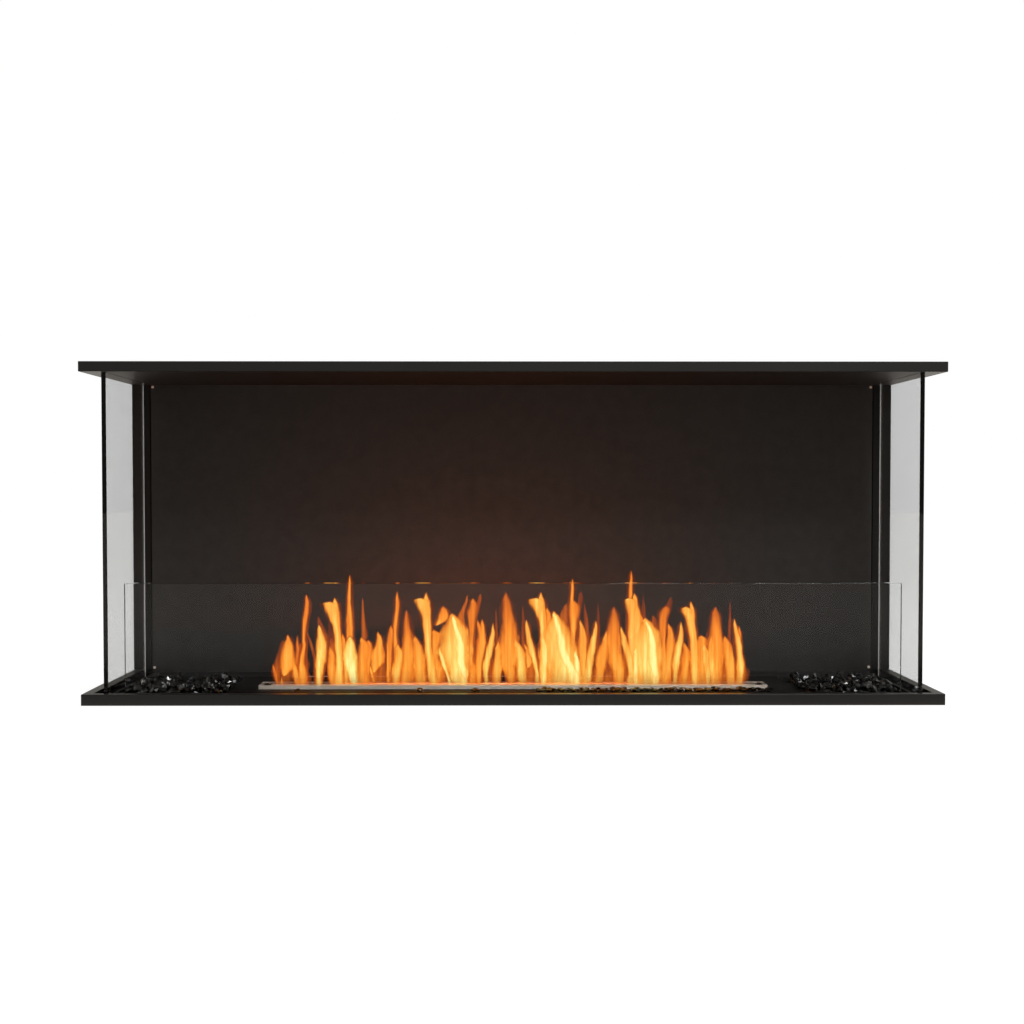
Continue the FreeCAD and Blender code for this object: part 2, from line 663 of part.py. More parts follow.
def make_fasteners():
    """Panel screws, cover screws, frame bolts with their nuts, and weld nuts for the wall."""
    head = ("panel_head_radius", "panel_head_height")
    shank = ("panel_screw_radius", "panel_screw_length")
    spots = [(x, "panel_front", z) for x in PANEL_XS for z in PANEL_ZS]
    group("panel_screws", [screw(f"panel_screw_{number}", spot, "-y", head, shank)
                           for number, spot in enumerate(spots, start=1)])

    head = ("cover_head_radius", "cover_head_height")
    shank = ("cover_screw_radius", "cover_screw_length")
    spots = [(x, "cover_back", z) for x in COVER_XS for z in RAIL_MIDDLES]
    group("cover_screws", [screw(f"cover_screw_{number}", spot, "+y", head, shank)
                           for number, spot in enumerate(spots, start=1)])

    head = ("bolt_head_radius", "bolt_head_height")
    grip = "2 * steel + bolt_nut_height"
    bolts, nuts = [], []
    for seat in ("tray_height + steel", "liner_high"):
        for x in BOLT_XS:
            number = len(bolts) + 1
            bolts.append(screw(f"frame_bolt_{number}", (x, "rail_middle", seat), "+z", head,
                               ("bolt_radius", grip), "Part::Prism"))
            under = (x, "rail_middle", f"{seat} - 2 * steel")
            blank = rod(f"frame_nut_{number}_hex", "Part::Prism", under, "-z", "bolt_head_radius",
                        "bolt_nut_height")
            thread = rod(f"frame_nut_{number}_thread", "Part::Cylinder", under, "-z", "bolt_radius",
                         "bolt_nut_height")
            nuts.append(bored(f"frame_nut_{number}", blank, thread))
    group("frame_bolts", bolts)
    group("frame_nuts", nuts)

    nuts = []
    for x in ("-wall_hole_x", "wall_hole_x"):
        for z in WALL_ZS:
            number = len(nuts) + 1
            seat = (x, "stile_flange", z)
            blank = rod(f"wall_nut_{number}_hex", "Part::Prism", seat, "-y", "wall_nut_radius",
                        "wall_nut_height")
            thread = rod(f"wall_nut_{number}_thread", "Part::Cylinder", seat, "-y", "wall_bolt_radius",
                         "wall_nut_height")
            nuts.append(bored(f"wall_nut_{number}", blank, thread))
    group("wall_nuts", nuts)


# Burner

NECK = rectangle(("-neck_half", "neck_half"), ("neck_front", "neck_back"))
NECK_INSIDE = rectangle(("-neck_half + tank_wall", "neck_half - tank_wall"),
                        ("neck_front + tank_wall", "neck_back - tank_wall"))


def make_tank():
    """The flat stainless fuel tank, the neck above it and the black cover round the neck."""
    tank = extrusion("fuel_tank", "z", ("steel", "deck_low"),
                     rectangle(("-neck_half", "neck_half"), ("tank_front", "tank_back")))
    inside = rectangle(("-neck_half + tank_wall", "neck_half - tank_wall"),
                       ("tank_front + tank_wall", "tank_back - tank_wall"))
    hollow(tank, "z", ("tank_floor", "deck_low"), NECK_INSIDE)
    hollow(tank, "z", ("tank_floor", "deck_low - tank_wall"), inside)

    neck = extrusion("burner_neck", "z", ("deck_low", "frame_under"), NECK)
    hollow(neck, "z", ("deck_low", "frame_under"), NECK_INSIDE)

    cover = extrusion("burner_cover", "z", ("steel", "deck_height"),
                      rectangle(("-cover_half", "cover_half"), ("module_front", "module_back")))
    opening = rectangle(("-neck_half - neck_slack", "neck_half + neck_slack"),
                        ("neck_front - neck_slack", "neck_back + neck_slack"))
    hollow(cover, "z", ("steel", "deck_height"), opening)
    under = rectangle(("-cover_half + steel", "cover_half - steel"),
                      ("module_front + steel", "module_back - steel"))
    hollow(cover, "z", ("steel", "deck_low"), under)


def make_frame():
    """The bright stainless frame with the flame slot and a knob slot at each end."""
    frame = keep(doc.addObject("PartDesign::Body", "burner_frame"))
    lip_low = "deck_height + frame_lip_gap"
    pad(frame, "z", (lip_low, "frame_high"), lambda sketch: draw_rounded(
        sketch, ("-frame_half", "frame_front"), ("frame_half", "frame_back"), "frame_corner"))
    pocket(frame, "z", (lip_low, "frame_under"), lambda sketch: draw_rounded(
        sketch, ("-frame_half + frame_sheet", "frame_front + frame_sheet"),
        ("frame_half - frame_sheet", "frame_back - frame_sheet"), "frame_corner - frame_sheet"))

    def draw_slots(sketch):
        draw_slot(sketch, ("0", "frame_middle"), "slot_length", "slot_width", "x")
        for sign in ("", "-"):
            middle = (f"{sign}knob_x", "end_slot_middle")
            draw_slot(sketch, middle, "end_slot_length", "end_slot_width", "y")
    pocket(frame, "z", ("frame_under", "frame_high"), draw_slots)


def make_wick():
    """The ceramic fibre wick and the perforated strip that holds it down."""
    keep(block("burner_wick", ("-wick_half", "wick_half"), ("wick_front", "wick_back"),
               ("tank_floor", "grate_low")))
    grate = extrusion("wick_grate", "z", ("grate_low", "grate_high"),
                      rectangle(("-wick_half", "wick_half"), ("wick_front", "wick_back")))
    row = "wick_half - grate_hole_pitch"
    hole = pocket(grate, "z", ("grate_low", "grate_high"), lambda sketch: draw_slot(
        sketch, (f"-({row})", "frame_middle"), "grate_hole_length", "slot_width", "x"))
    holes = grate.newObject("PartDesign::LinearPattern", "grate_holes")
    holes.Originals = [hole]
    holes.Direction = (hole.Profile[0], ["H_Axis"])
    bind(holes, "Length", f"2 * ({row})")
    holes.Occurrences = int(2 * value(row) / value("grate_hole_pitch")) + 1
    grate.Tip = holes


def make_shutter():
    """The sliding shutter that chokes the flame, its runners and its two end knobs."""
    runners = []
    ends = "shutter_half - shutter_rail_width"
    for steps in (-1.5, -0.5, 0.5, 1.5):
        middle = f"{steps} * shutter_rail_spacing"
        runners.append(block(f"shutter_runner_{len(runners) + 1}",
                             (f"{middle} - shutter_rail_width / 2", f"{middle} + shutter_rail_width / 2"),
                             ("wick_front", "wick_back"), ("grate_high", "shutter_low")))
    for side in (1, -1):
        runners.append(block(f"shutter_runner_{len(runners) + 1}", mirrored(side, ends, "shutter_half"),
                             ("wick_front", "wick_back"), ("grate_high", "shutter_low")))
    group("shutter_runners", runners)

    extrusion("burner_shutter", "z", ("shutter_low", "shutter_high"),
              rectangle(("-shutter_half", "shutter_half"), ("shutter_front", "shutter_back")))
    knobs = []
    knob_low = "frame_high + knob_lift"
    for x in ("knob_x", "-knob_x"):
        number = len(knobs) + 1
        stem = rod(f"knob_{number}_stem", "Part::Cylinder", (x, "knob_y", "shutter_high"), "+z",
                   "knob_pin_radius", f"{knob_low} - shutter_high")
        cap = rod(f"knob_{number}_cap", "Part::Cylinder", (x, "knob_y", knob_low), "+z",
                  "knob_radius", "knob_height")
        knobs.append(joined(f"knob_{number}", stem, cap))
    group("shutter_knobs", knobs)


# Media boxes and glass chunks

# Shares of a chunk's room and height, and the random order each heap is drawn in.
SHRINK = (0.34, 0.47)
TOP_SHRINK = (0.12, 0.30)
LOWEST = 0.7
UPPER_SHARE = 0.45
HEAP_ORDER = {"right": 11, "left": 9, "front": 5}


def chunk(rng, middle, room, height):
    """Return an irregular faceted chunk that stands on its flat bottom inside its room."""
    low, high = [], []
    for side_x, side_y in ((-1, -1), (1, -1), (1, 1), (-1, 1)):
        for ring, (least, most), level in ((low, SHRINK, 0), (high, TOP_SHRINK, height)):
            lift = level * rng.uniform(LOWEST, 1)
            ring.append(middle + FreeCAD.Vector(side_x * room[0] * rng.uniform(least, most),
                                                side_y * room[1] * rng.uniform(least, most), lift))
    faces = [Part.Face(Part.makePolygon(low + low[:1]))]
    triangles = [(high[0], high[1], high[2]), (high[0], high[2], high[3])]
    for index in range(4):
        following = (index + 1) % 4
        triangles.append((low[index], low[following], high[following]))
        triangles.append((low[index], high[following], high[index]))
    faces += [Part.Face(Part.makePolygon(list(corners) + [corners[0]])) for corners in triangles]
    return Part.makeSolid(Part.makeShell(faces))


def rest_on(solid, under, height):
    """Raise a chunk from the floor until its flat bottom rests on the chunks under it."""
    shadow = solid.Faces[0].extrude(FreeCAD.Vector(0, 0, height))
    peaks = [part.BoundBox.ZMax for part in map(shadow.common, under) if part.Solids]
    solid.translate(FreeCAD.Vector(0, 0, max(peaks) - solid.BoundBox.ZMin))
    return solid


def make_media_box(side, hand):
    """A shallow open box and the black glass chunks that fill it in two layers."""
    across = mirrored(side, "box_inner", "box_outer")
    box = extrusion(f"media_box_{hand}", "z", ("steel", "deck_height"),
                    rectangle(across, ("module_front", "module_back")))
    hollow(box, "z", ("steel + box_wall", "deck_height"),
           rectangle((f"{across[0]} + box_wall", f"{across[1]} - box_wall"),
                     ("module_front + box_wall", "module_back - box_wall")))

    rng = random.Random(HEAP_ORDER[hand])
    low = FreeCAD.Vector(value(across[0]), value("module_front"), value("steel")) \
        + FreeCAD.Vector(1, 1, 1) * value("box_wall")
    size = (value("box_width - 2 * box_wall"), value("module_depth - 2 * box_wall"))
    counts = [int(length / value("stone_pitch")) for length in size]
    room = [length / count for length, count in zip(size, counts)]
    height = value("stone_height")
    lower, upper = {}, []
    for column in range(counts[0]):
        for line in range(counts[1]):
            middle = low + FreeCAD.Vector((column + 0.5) * room[0], (line + 0.5) * room[1], 0)
            lower[column, line] = chunk(rng, middle, room, height)
    for column in range(1, counts[0]):
        for line in range(1, counts[1]):
            if rng.random() > UPPER_SHARE:
                continue
            under = [lower[column - x, line - y] for x in (0, 1) for y in (0, 1)]
            middle = low + FreeCAD.Vector(column * room[0], line * room[1], 0)
            upper.append(rest_on(chunk(rng, middle, room, height), under, height))
    stones = keep(doc.addObject("Part::Feature", f"media_stones_{hand}"))
    stones.Shape = Part.makeCompound(list(lower.values()) + upper)


def make_front_stones():
    """The loose chunks on the burner cover along the front of the frame."""
    rng = random.Random(HEAP_ORDER["front"])
    pitch, height = value("front_stone_pitch"), value("stone_height")
    room = (pitch, value("front_stone_depth"))
    front, back = value("module_front") + room[1] / 2, value("frame_front") - room[1] / 2
    start = value("front_stones_from")
    count = int((value("front_stones_to") - start) / pitch) + 1
    spots = [start + pitch * step for step in range(count)]
    spots += [value("stray_stone_" + name) for name in ("left", "middle", "right", "end")]
    solids = []
    for spot in spots:
        middle = FreeCAD.Vector(spot, rng.uniform(front, back), value("deck_height"))
        solids.append(chunk(rng, middle, room, height * rng.uniform(LOWEST, 1)))
    stones = keep(doc.addObject("Part::Feature", "media_stones_front"))
    stones.Shape = Part.makeCompound(solids)


make_tray()
make_rear_deck()
for side, hand in ((1, "right"), (-1, "left")):
    make_side_glass(side, hand)
    make_media_box(side, hand)
make_front_screen()
make_top()
make_back_wall()
make_fasteners()
make_tank()
make_frame()
make_wick()
make_shutter()
make_front_stones()
doc.recompute()

faults = [item.Name for item in doc.Objects if {"Invalid", "Error"} & set(item.State)]
faults += [piece.Label for piece in pieces if piece.Shape.isNull() or not piece.Shape.isValid()]
if faults:
    raise RuntimeError("these objects failed: " + ", ".join(faults))

os.makedirs("parts", exist_ok=True)
for piece in pieces:
    piece.Shape.exportStep(f"parts/{piece.Label}.step")
    print(piece.Label, len(piece.Shape.Solids), "solids", round(piece.Shape.Volume), "cubic mm")
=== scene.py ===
import json
import math
import random

import bmesh
import bpy
from mathutils import Matrix, Vector
from mathutils.bvhtree import BVHTree


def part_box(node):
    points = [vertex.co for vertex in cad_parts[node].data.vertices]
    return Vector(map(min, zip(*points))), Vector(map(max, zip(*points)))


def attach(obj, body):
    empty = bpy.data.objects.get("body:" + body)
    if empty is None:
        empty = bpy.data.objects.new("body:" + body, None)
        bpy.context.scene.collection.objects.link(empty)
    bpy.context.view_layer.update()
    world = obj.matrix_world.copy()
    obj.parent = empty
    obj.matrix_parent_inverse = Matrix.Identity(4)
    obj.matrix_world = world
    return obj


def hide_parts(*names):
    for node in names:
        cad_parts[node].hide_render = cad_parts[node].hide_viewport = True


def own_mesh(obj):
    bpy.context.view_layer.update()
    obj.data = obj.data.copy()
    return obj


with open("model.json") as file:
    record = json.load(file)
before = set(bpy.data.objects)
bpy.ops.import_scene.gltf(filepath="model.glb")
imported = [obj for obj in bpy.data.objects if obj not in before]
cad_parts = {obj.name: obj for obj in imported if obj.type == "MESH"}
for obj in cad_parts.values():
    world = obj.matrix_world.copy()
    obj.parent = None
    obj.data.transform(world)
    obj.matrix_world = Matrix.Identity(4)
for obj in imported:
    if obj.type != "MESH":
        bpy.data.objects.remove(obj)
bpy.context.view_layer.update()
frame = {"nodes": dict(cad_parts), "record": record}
print("frame loaded:", len(frame["nodes"]), "nodes")

millimetre = 0.001


# camera and light

cameraSetup = {
    "place": (-0.0248, -3.2189, 0.3902),
    "pitch": -2.042,  # degrees, down
    "yaw": -0.411,  # degrees, to the right
    "lens": 60.05,
    "sensor": 36,
    "shiftUp": 0.0322,
}


def setCamera(setup):
    data = bpy.data.cameras.new("photoCamera")
    data.lens = setup["lens"]
    data.sensor_width = setup["sensor"]
    data.shift_y = setup["shiftUp"]
    camera = bpy.data.objects.new("photoCamera", data)
    camera.location = setup["place"]
    camera.rotation_euler = (math.radians(90 + setup["pitch"]), 0, math.radians(setup["yaw"]))
    bpy.context.scene.collection.objects.link(camera)
    bpy.context.scene.camera = camera


def addNode(tree, kind, settings=None, **sockets):
    node = tree.nodes.new(kind)
    for name, value in (settings or {}).items():
        setattr(node, name, value)
    for name, value in sockets.items():
        numbered = name.startswith("in") and name[2:].isdigit()
        socket = node.inputs[int(name[2:]) if numbered else name]
        if isinstance(value, bpy.types.NodeSocket):
            tree.links.new(value, socket)
        else:
            socket.default_value = value
    return node


def calc(tree, operation, first, second=0.0, clamp=False):
    settings = {"operation": operation, "use_clamp": clamp}
    return addNode(tree, "ShaderNodeMath", settings, in0=first, in1=second).outputs[0]


def multiply(tree, first, second, clamp=False):
    return calc(tree, "MULTIPLY", first, second, clamp)


def mapRange(tree, value, fromLow, fromHigh, toLow, toHigh, kind="LINEAR"):
    node = addNode(tree, "ShaderNodeMapRange", {"interpolation_type": kind},
                   in0=value, in1=fromLow, in2=fromHigh, in3=toLow, in4=toHigh)
    return node.outputs[0]


def mixColours(tree, share, first, second):
    colours = [item if isinstance(item, bpy.types.NodeSocket) else (*item, 1) for item in (first, second)]
    node = addNode(tree, "ShaderNodeMix", {"data_type": "RGBA"}, in0=share, in6=colours[0], in7=colours[1])
    return node.outputs[2]


def findPlace(tree, kind="Object"):
    return addNode(tree, "ShaderNodeTexCoord").outputs[kind]


def pickAxis(tree, place, axis):
    return addNode(tree, "ShaderNodeSeparateXYZ", None, in0=place).outputs[axis]


def stretchPlace(tree, place, stretch):
    mapping = addNode(tree, "ShaderNodeMapping", None, Vector=place)
    mapping.inputs["Scale"].default_value = stretch
    return mapping.outputs[0]


def addNoise(tree, place, scale, detail, roughness=0.5):
    node = addNode(tree, "ShaderNodeTexNoise", None,
                   Vector=place, Scale=scale, Detail=detail, Roughness=roughness)
    return node.outputs[0]


def newMaterial(name):
    material = bpy.data.materials.new(name)
    material.use_nodes = True
    tree = material.node_tree
    return material, tree, tree.nodes["Principled BSDF"]


white = (1, 1, 1)
studioLight = {
    "fillLevel": 0.64,  # light from all round
    "frontGlow": 0.16,  # what glass and metal see in front of the object
    "backGlow": 0.36,  # and behind it
    "frontToBack": (-0.25, 0.2),  # where the one passes into the other
    "tint": (1.0, 0.96, 0.87),  # of the fill and of what is mirrored
    "background": 1.0,
    "keySize": (1.2, 1.2),
    "keyPlace": (1.0, -3.0, 2.9),
    "aim": (0.0, 0.0, 0.25),
    "keyWatts": 70,
    "rimSize": (3.0, 0.6),
    "rimPlace": (0.9, 1.8, 2.6),
    "rimWatts": 45,
}


def splitRays(tree):  # what is seen straight or through glass, and what is seen in a mirroring surface
    path = addNode(tree, "ShaderNodeLightPath").outputs
    mirrored = calc(tree, "GREATER_THAN", path["Glossy Depth"], 0.5)
    mirrored = multiply(tree, mirrored, calc(tree, "LESS_THAN", path["Diffuse Depth"], 0.5))
    seen = calc(tree, "ADD", path["Is Camera Ray"], path["Is Transmission Ray"], clamp=True)
    return multiply(tree, seen, calc(tree, "SUBTRACT", 1.0, mirrored)), mirrored


def setWorld(light):
    world = bpy.data.worlds.new("paleStudio")
    bpy.context.scene.world = world
    world.use_nodes = True
    tree = world.node_tree
    seen, glossy = splitRays(tree)
    away = pickAxis(tree, findPlace(tree, "Generated"), "Y")
    mirrored = mapRange(tree, away, *light["frontToBack"], light["frontGlow"], light["backGlow"])
    level = mapRange(tree, glossy, 0.0, 1.0, light["fillLevel"], 0.0)
    level = calc(tree, "ADD", level, multiply(tree, glossy, mirrored))
    unseen = multiply(tree, level, calc(tree, "SUBTRACT", 1.0, seen))
    level = calc(tree, "ADD", unseen, multiply(tree, seen, light["background"]))
    background = tree.nodes["Background"].inputs
    tree.links.new(level, background["Strength"])
    tree.links.new(mixColours(tree, seen, light["tint"], white), background["Color"])


def addAreaLamp(name, place, aim, size, watts, colour=white):
    data = bpy.data.lights.new(name, "AREA")
    data.energy = watts
    data.color = colour
    data.shape = "RECTANGLE"
    data.size, data.size_y = size
    lamp = bpy.data.objects.new(name, data)
    lamp.location = place
    lamp.rotation_euler = (Vector(aim) - Vector(place)).to_track_quat("-Z", "Y").to_euler()
    lamp.visible_camera = False
    bpy.context.scene.collection.objects.link(lamp)
    return lamp


def addLamps(light):
    for lamp in ("key", "rim"):
        place, size, watts = (light[lamp + what] for what in ("Place", "Size", "Watts"))
        addAreaLamp(lamp + "Lamp", place, light["aim"], size, watts)


paleFloor = {
    "size": 20.0, "colour": (0.19, 0.19, 0.19, 1), "drop": 0.0004,
    "glow": 0.90,  # what the camera sees, so that the floor is white and its shadow stays
    "dimFrom": (-0.45, -0.15),  # in front of this the floor is dim in reflections, as the studio there is
    "sheenFrom": (-1.3, -0.7), "sheen": 0.44,  # and further in front a little brighter again
    "tint": (1.0, 0.92, 0.83),  # in reflections
}


def addFloor(floor):
    mesh = bpy.data.meshes.new("paleFloor")
    bm = bmesh.new()
    bmesh.ops.create_grid(bm, x_segments=1, y_segments=1, size=floor["size"])
    bmesh.ops.translate(bm, verts=bm.verts, vec=(0, 0, -floor["drop"]))
    bm.to_mesh(mesh)
    bm.free()
    item = bpy.data.objects.new("paleFloor", mesh)
    bpy.context.scene.collection.objects.link(item)
    material, tree, shader = newMaterial("paleFloor")
    tree.nodes.remove(shader)
    seen, glossy = splitRays(tree)
    away = pickAxis(tree, findPlace(tree), "Y")
    behind = mapRange(tree, away, *floor["dimFrom"], 0.0, floor["glow"])
    before = mapRange(tree, away, *floor["sheenFrom"], floor["sheen"], 0.0)
    level = multiply(tree, glossy, calc(tree, "ADD", behind, before))
    level = calc(tree, "ADD", level, multiply(tree, seen, floor["glow"]))
    colour = mixColours(tree, glossy, white, floor["tint"])
    glow = addNode(tree, "ShaderNodeEmission", None, Color=colour, Strength=level)
    matt = addNode(tree, "ShaderNodeBsdfDiffuse", None, Color=floor["colour"])
    both = addNode(tree, "ShaderNodeAddShader", None, in0=glow.outputs[0], in1=matt.outputs[0])
    tree.links.new(both.outputs[0], tree.nodes["Material Output"].inputs["Surface"])
    mesh.materials.append(material)


setCamera(cameraSetup)
setWorld(studioLight)
addLamps(studioLight)
addFloor(paleFloor)
print("camera, light and floor set")


# finishes: two colours in soft clouds, a grain that roughens and dents, an optional brushed stretch

finishNoise = {
    "cloudDetail": 5.0, "cloudRoughness": 0.6, "cloudSpan": (0.3, 0.7),
    "grainDetail": 2.0, "grainRoughness": 0.55, "grainSpan": (0.25, 0.75),
}
powderCoat = {
    "dark": (0.0075, 0.0070, 0.0067), "pale": (0.0110, 0.0104, 0.0099), "cloud": 6.0,
    "grain": 950.0, "rough": (0.40, 0.52), "dent": 0.00005, "dentStrength": 0.25, "shine": 0.38,
}
trayCoat = dict(powderCoat, rough=(0.28, 0.36), shine=0.42)
heatPaint = dict(powderCoat, dark=(0.0070, 0.0066, 0.0064), rough=(0.55, 0.68), shine=0.2)
boardCoat = {
    "dark": (0.0110, 0.0100, 0.0095), "pale": (0.0190, 0.0174, 0.0164), "cloud": 42.0,
    "grain": 420.0, "rough": (0.46, 0.62), "dent": 0.00016, "dentStrength": 0.4,
}
brushedSteel = {
    "dark": (0.76, 0.66, 0.57), "pale": (0.92, 0.82, 0.72), "cloud": 28.0,
    "grain": 700.0, "rough": (0.30, 0.46), "dent": 0.00002, "dentStrength": 0.2,
    "metal": 0.45, "stretch": (0.03, 1.0, 1.0),
    "scorched": (0.25, 0.19, 0.145),  # along the flame slot
    "scorchLine": -0.0736, "scorchReach": (0.0068, 0.0105),
}
sootedSteel = {
    "dark": (0.022, 0.020, 0.019), "pale": (0.085, 0.075, 0.068), "cloud": 70.0,
    "grain": 500.0, "rough": (0.45, 0.65), "dent": 0.00004, "dentStrength": 0.3, "metal": 0.7,
}
zincPlate = {
    "dark": (0.46, 0.47, 0.48), "pale": (0.60, 0.61, 0.62), "cloud": 160.0,
    "grain": 900.0, "rough": (0.30, 0.45), "dent": 0.00002, "dentStrength": 0.2, "metal": 1.0,
}
blackSilicone = {
    "dark": (0.014, 0.014, 0.014), "pale": (0.022, 0.022, 0.022), "cloud": 60.0,
    "grain": 600.0, "rough": (0.55, 0.70), "dent": 0.00005, "dentStrength": 0.3,
}
ceramicFibre = {
    "dark": (0.62, 0.58, 0.51), "pale": (0.80, 0.77, 0.70), "cloud": 90.0,
    "grain": 800.0, "rough": (0.85, 0.95), "dent": 0.0004, "dentStrength": 0.7,
}


def makeFinish(name, look):
    material, tree, shader = newMaterial(name)
    place = findPlace(tree)
    stretched = stretchPlace(tree, place, look["stretch"]) if "stretch" in look else place
    noise = finishNoise
    cloud = addNoise(tree, stretched, look["cloud"], noise["cloudDetail"], noise["cloudRoughness"])
    grain = addNoise(tree, stretched, look["grain"], noise["grainDetail"], noise["grainRoughness"])
    share = mapRange(tree, cloud, *noise["cloudSpan"], 0.0, 1.0)
    colour = mixColours(tree, share, look["dark"], look["pale"])
    if "scorched" in look:
        away = calc(tree, "SUBTRACT", pickAxis(tree, place, "Y"), look["scorchLine"])
        near = mapRange(tree, calc(tree, "ABSOLUTE", away), *look["scorchReach"], 1.0, 0.0)
        colour = mixColours(tree, near, colour, look["scorched"])
    tree.links.new(colour, shader.inputs["Base Color"])
    rough = mapRange(tree, grain, *noise["grainSpan"], *look["rough"])
    tree.links.new(rough, shader.inputs["Roughness"])
    bump = addNode(tree, "ShaderNodeBump", None,
                   Strength=look["dentStrength"], Distance=look["dent"], Height=grain)
    tree.links.new(bump.outputs[0], shader.inputs["Normal"])
    shader.inputs["Metallic"].default_value = look.get("metal", 0.0)
    shader.inputs["Specular IOR Level"].default_value = look.get("shine", 0.5)
    return material


clearGlass = {
    "clean": (0.99, 1.0, 0.995), "smeared": (0.955, 0.965, 0.96), "ior": 1.5,
    "smearScale": 9.0, "smearDetail": 6.0, "smearSpan": (0.5, 0.8),
}
# the back ends of the side panes are ground, and the front screen is coated, so it mirrors little
paneGlass = dict(clearGlass, ior=1.46, groundFrom=0.1208, ground=(0.80, 0.75, 0.72, 1))
screenGlass = dict(clearGlass, ior=1.19)


def makeGlass(name, look):
    material, tree, shader = newMaterial(name)
    shader.inputs["Roughness"].default_value = 0.0
    shader.inputs["Transmission Weight"].default_value = 1.0
    shader.inputs["IOR"].default_value = look["ior"]
    place = findPlace(tree)
    smear = addNoise(tree, place, look["smearScale"], look["smearDetail"])
    share = mapRange(tree, smear, *look["smearSpan"], 0.0, 1.0)
    tree.links.new(mixColours(tree, share, look["clean"], look["smeared"]), shader.inputs["Base Color"])
    if "ground" in look:
        atEnd = calc(tree, "GREATER_THAN", pickAxis(tree, place, "Y"), look["groundFrom"])
        matt = addNode(tree, "ShaderNodeBsdfDiffuse", None, Color=look["ground"])
        both = addNode(tree, "ShaderNodeMixShader", None,
                       in0=atEnd, in1=shader.outputs[0], in2=matt.outputs[0])
        tree.links.new(both.outputs[0], tree.nodes["Material Output"].inputs["Surface"])
    return material


chunkGlass = {
    "colour": (0.0012, 0.0012, 0.0014), "smoke": (0.0040, 0.0040, 0.0044), "ior": 1.74,
    "smokeScale": 55.0, "smokeDetail": 3.0, "smokeSpan": (0.4, 0.7), "rough": (0.03, 0.10),
    "ripple": 320.0, "rippleDetail": 1.0, "rippleDepth": 0.0002, "rippleStrength": 0.5,
    "frosted": (0.34, 0.34, 0.35), "frostRough": 0.30,  # painted glints: a few of the break faces are pale and rougher, so they shine under any light
    "frostFrom": 0.94,
}


def makeChunkGlass(name, look):
    material, tree, shader = newMaterial(name)
    shader.inputs["IOR"].default_value = look["ior"]
    place = findPlace(tree)
    smoke = addNoise(tree, place, look["smokeScale"], look["smokeDetail"])
    ripple = addNoise(tree, place, look["ripple"], look["rippleDetail"])
    # painted glints: faces with a high random facet number get the pale colour, whatever the light
    facet = addNode(tree, "ShaderNodeAttribute", {"attribute_name": "facet"}).outputs["Fac"]
    frost = mapRange(tree, facet, look["frostFrom"], 1.0, 0.0, 1.0)
    colour = mixColours(tree, smoke, look["colour"], look["smoke"])
    tree.links.new(mixColours(tree, frost, colour, look["frosted"]), shader.inputs["Base Color"])
    rough = mapRange(tree, smoke, *look["smokeSpan"], *look["rough"])
    rough = calc(tree, "MAXIMUM", rough, multiply(tree, frost, look["frostRough"]))
    tree.links.new(rough, shader.inputs["Roughness"])
    bump = addNode(tree, "ShaderNodeBump", None,
                   Strength=look["rippleStrength"], Distance=look["rippleDepth"], Height=ripple)
    tree.links.new(bump.outputs[0], shader.inputs["Normal"])
    return material


finishes = {
    "black_steel": makeFinish("blackPowderCoat", powderCoat),
    "back_board": makeFinish("mottledBlackBoard", boardCoat),
    "stainless": makeFinish("brushedStainless", brushedSteel),
    "sooted_steel": makeFinish("sootedStainless", sootedSteel),
    "zinc_steel": makeFinish("zincPlate", zincPlate),
    "clear_glass": makeGlass("clearToughenedGlass", clearGlass),
    "black_glass": makeChunkGlass("blackBrokenGlass", chunkGlass),
    "silicone": makeFinish("blackSilicone", blackSilicone),
    "ceramic_fibre": makeFinish("ceramicFibre", ceramicFibre),
}
ownFinishes = [  # nodes that differ a little from the rest of their slot
    (makeGlass("coatedScreenGlass", screenGlass), ("front_glass",)),
    (makeGlass("sidePaneGlass", paneGlass), ("side_glass_left", "side_glass_right")),
    (makeFinish("mattHeatPaint", heatPaint),
     ("burner_cover", "media_box_left", "media_box_right", "stile_left", "stile_right")),
    (makeFinish("smoothPowderCoat", trayCoat), ("base_tray",)),
]

for part in frame["record"]["subparts"]:
    node = frame["nodes"][part["node"]]
    node.data.materials.clear()
    node.data.materials.append(finishes[part["material_slot"]])
for finish, nodes in ownFinishes:
    for name in nodes:
        frame["nodes"][name].data.materials[0] = finish


# new pieces

def addPiece(name, bm, material, body):
    mesh = bpy.data.meshes.new(name)
    bm.to_mesh(mesh)
    bm.free()
    mesh.materials.append(material)
    piece = bpy.data.objects.new(name, mesh)
    bpy.context.scene.collection.objects.link(piece)
    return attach(piece, body)


def settleFaces(bm):  # turned outwards, and in an order that is the same in every run
    bmesh.ops.recalc_face_normals(bm, faces=bm.faces)
    bm.verts.index_update()
    total = len(bm.verts)

    def rank(face):
        first, second, third = sorted(vert.index for vert in face.verts)[:3]
        return (first * total + second) * total + third

    bm.faces.sort(key=rank)


# broken glass: each chunk is a ball knocked flat by random cuts, then dropped on the heap below it

chunkShape = {
    "length": (0.9, 1.25), "breadth": (0.75, 1.0), "height": (0.55, 0.8),  # of its width
    "cuts": 5, "cutAt": (0.22, 0.34), "cutFacing": ((-1, 1), (-1, 1), (-0.8, 1)),
    "onPlane": 1e-6, "weld": 0.02,
    "reach": 0.62,  # from its middle to its edge, at the most
}


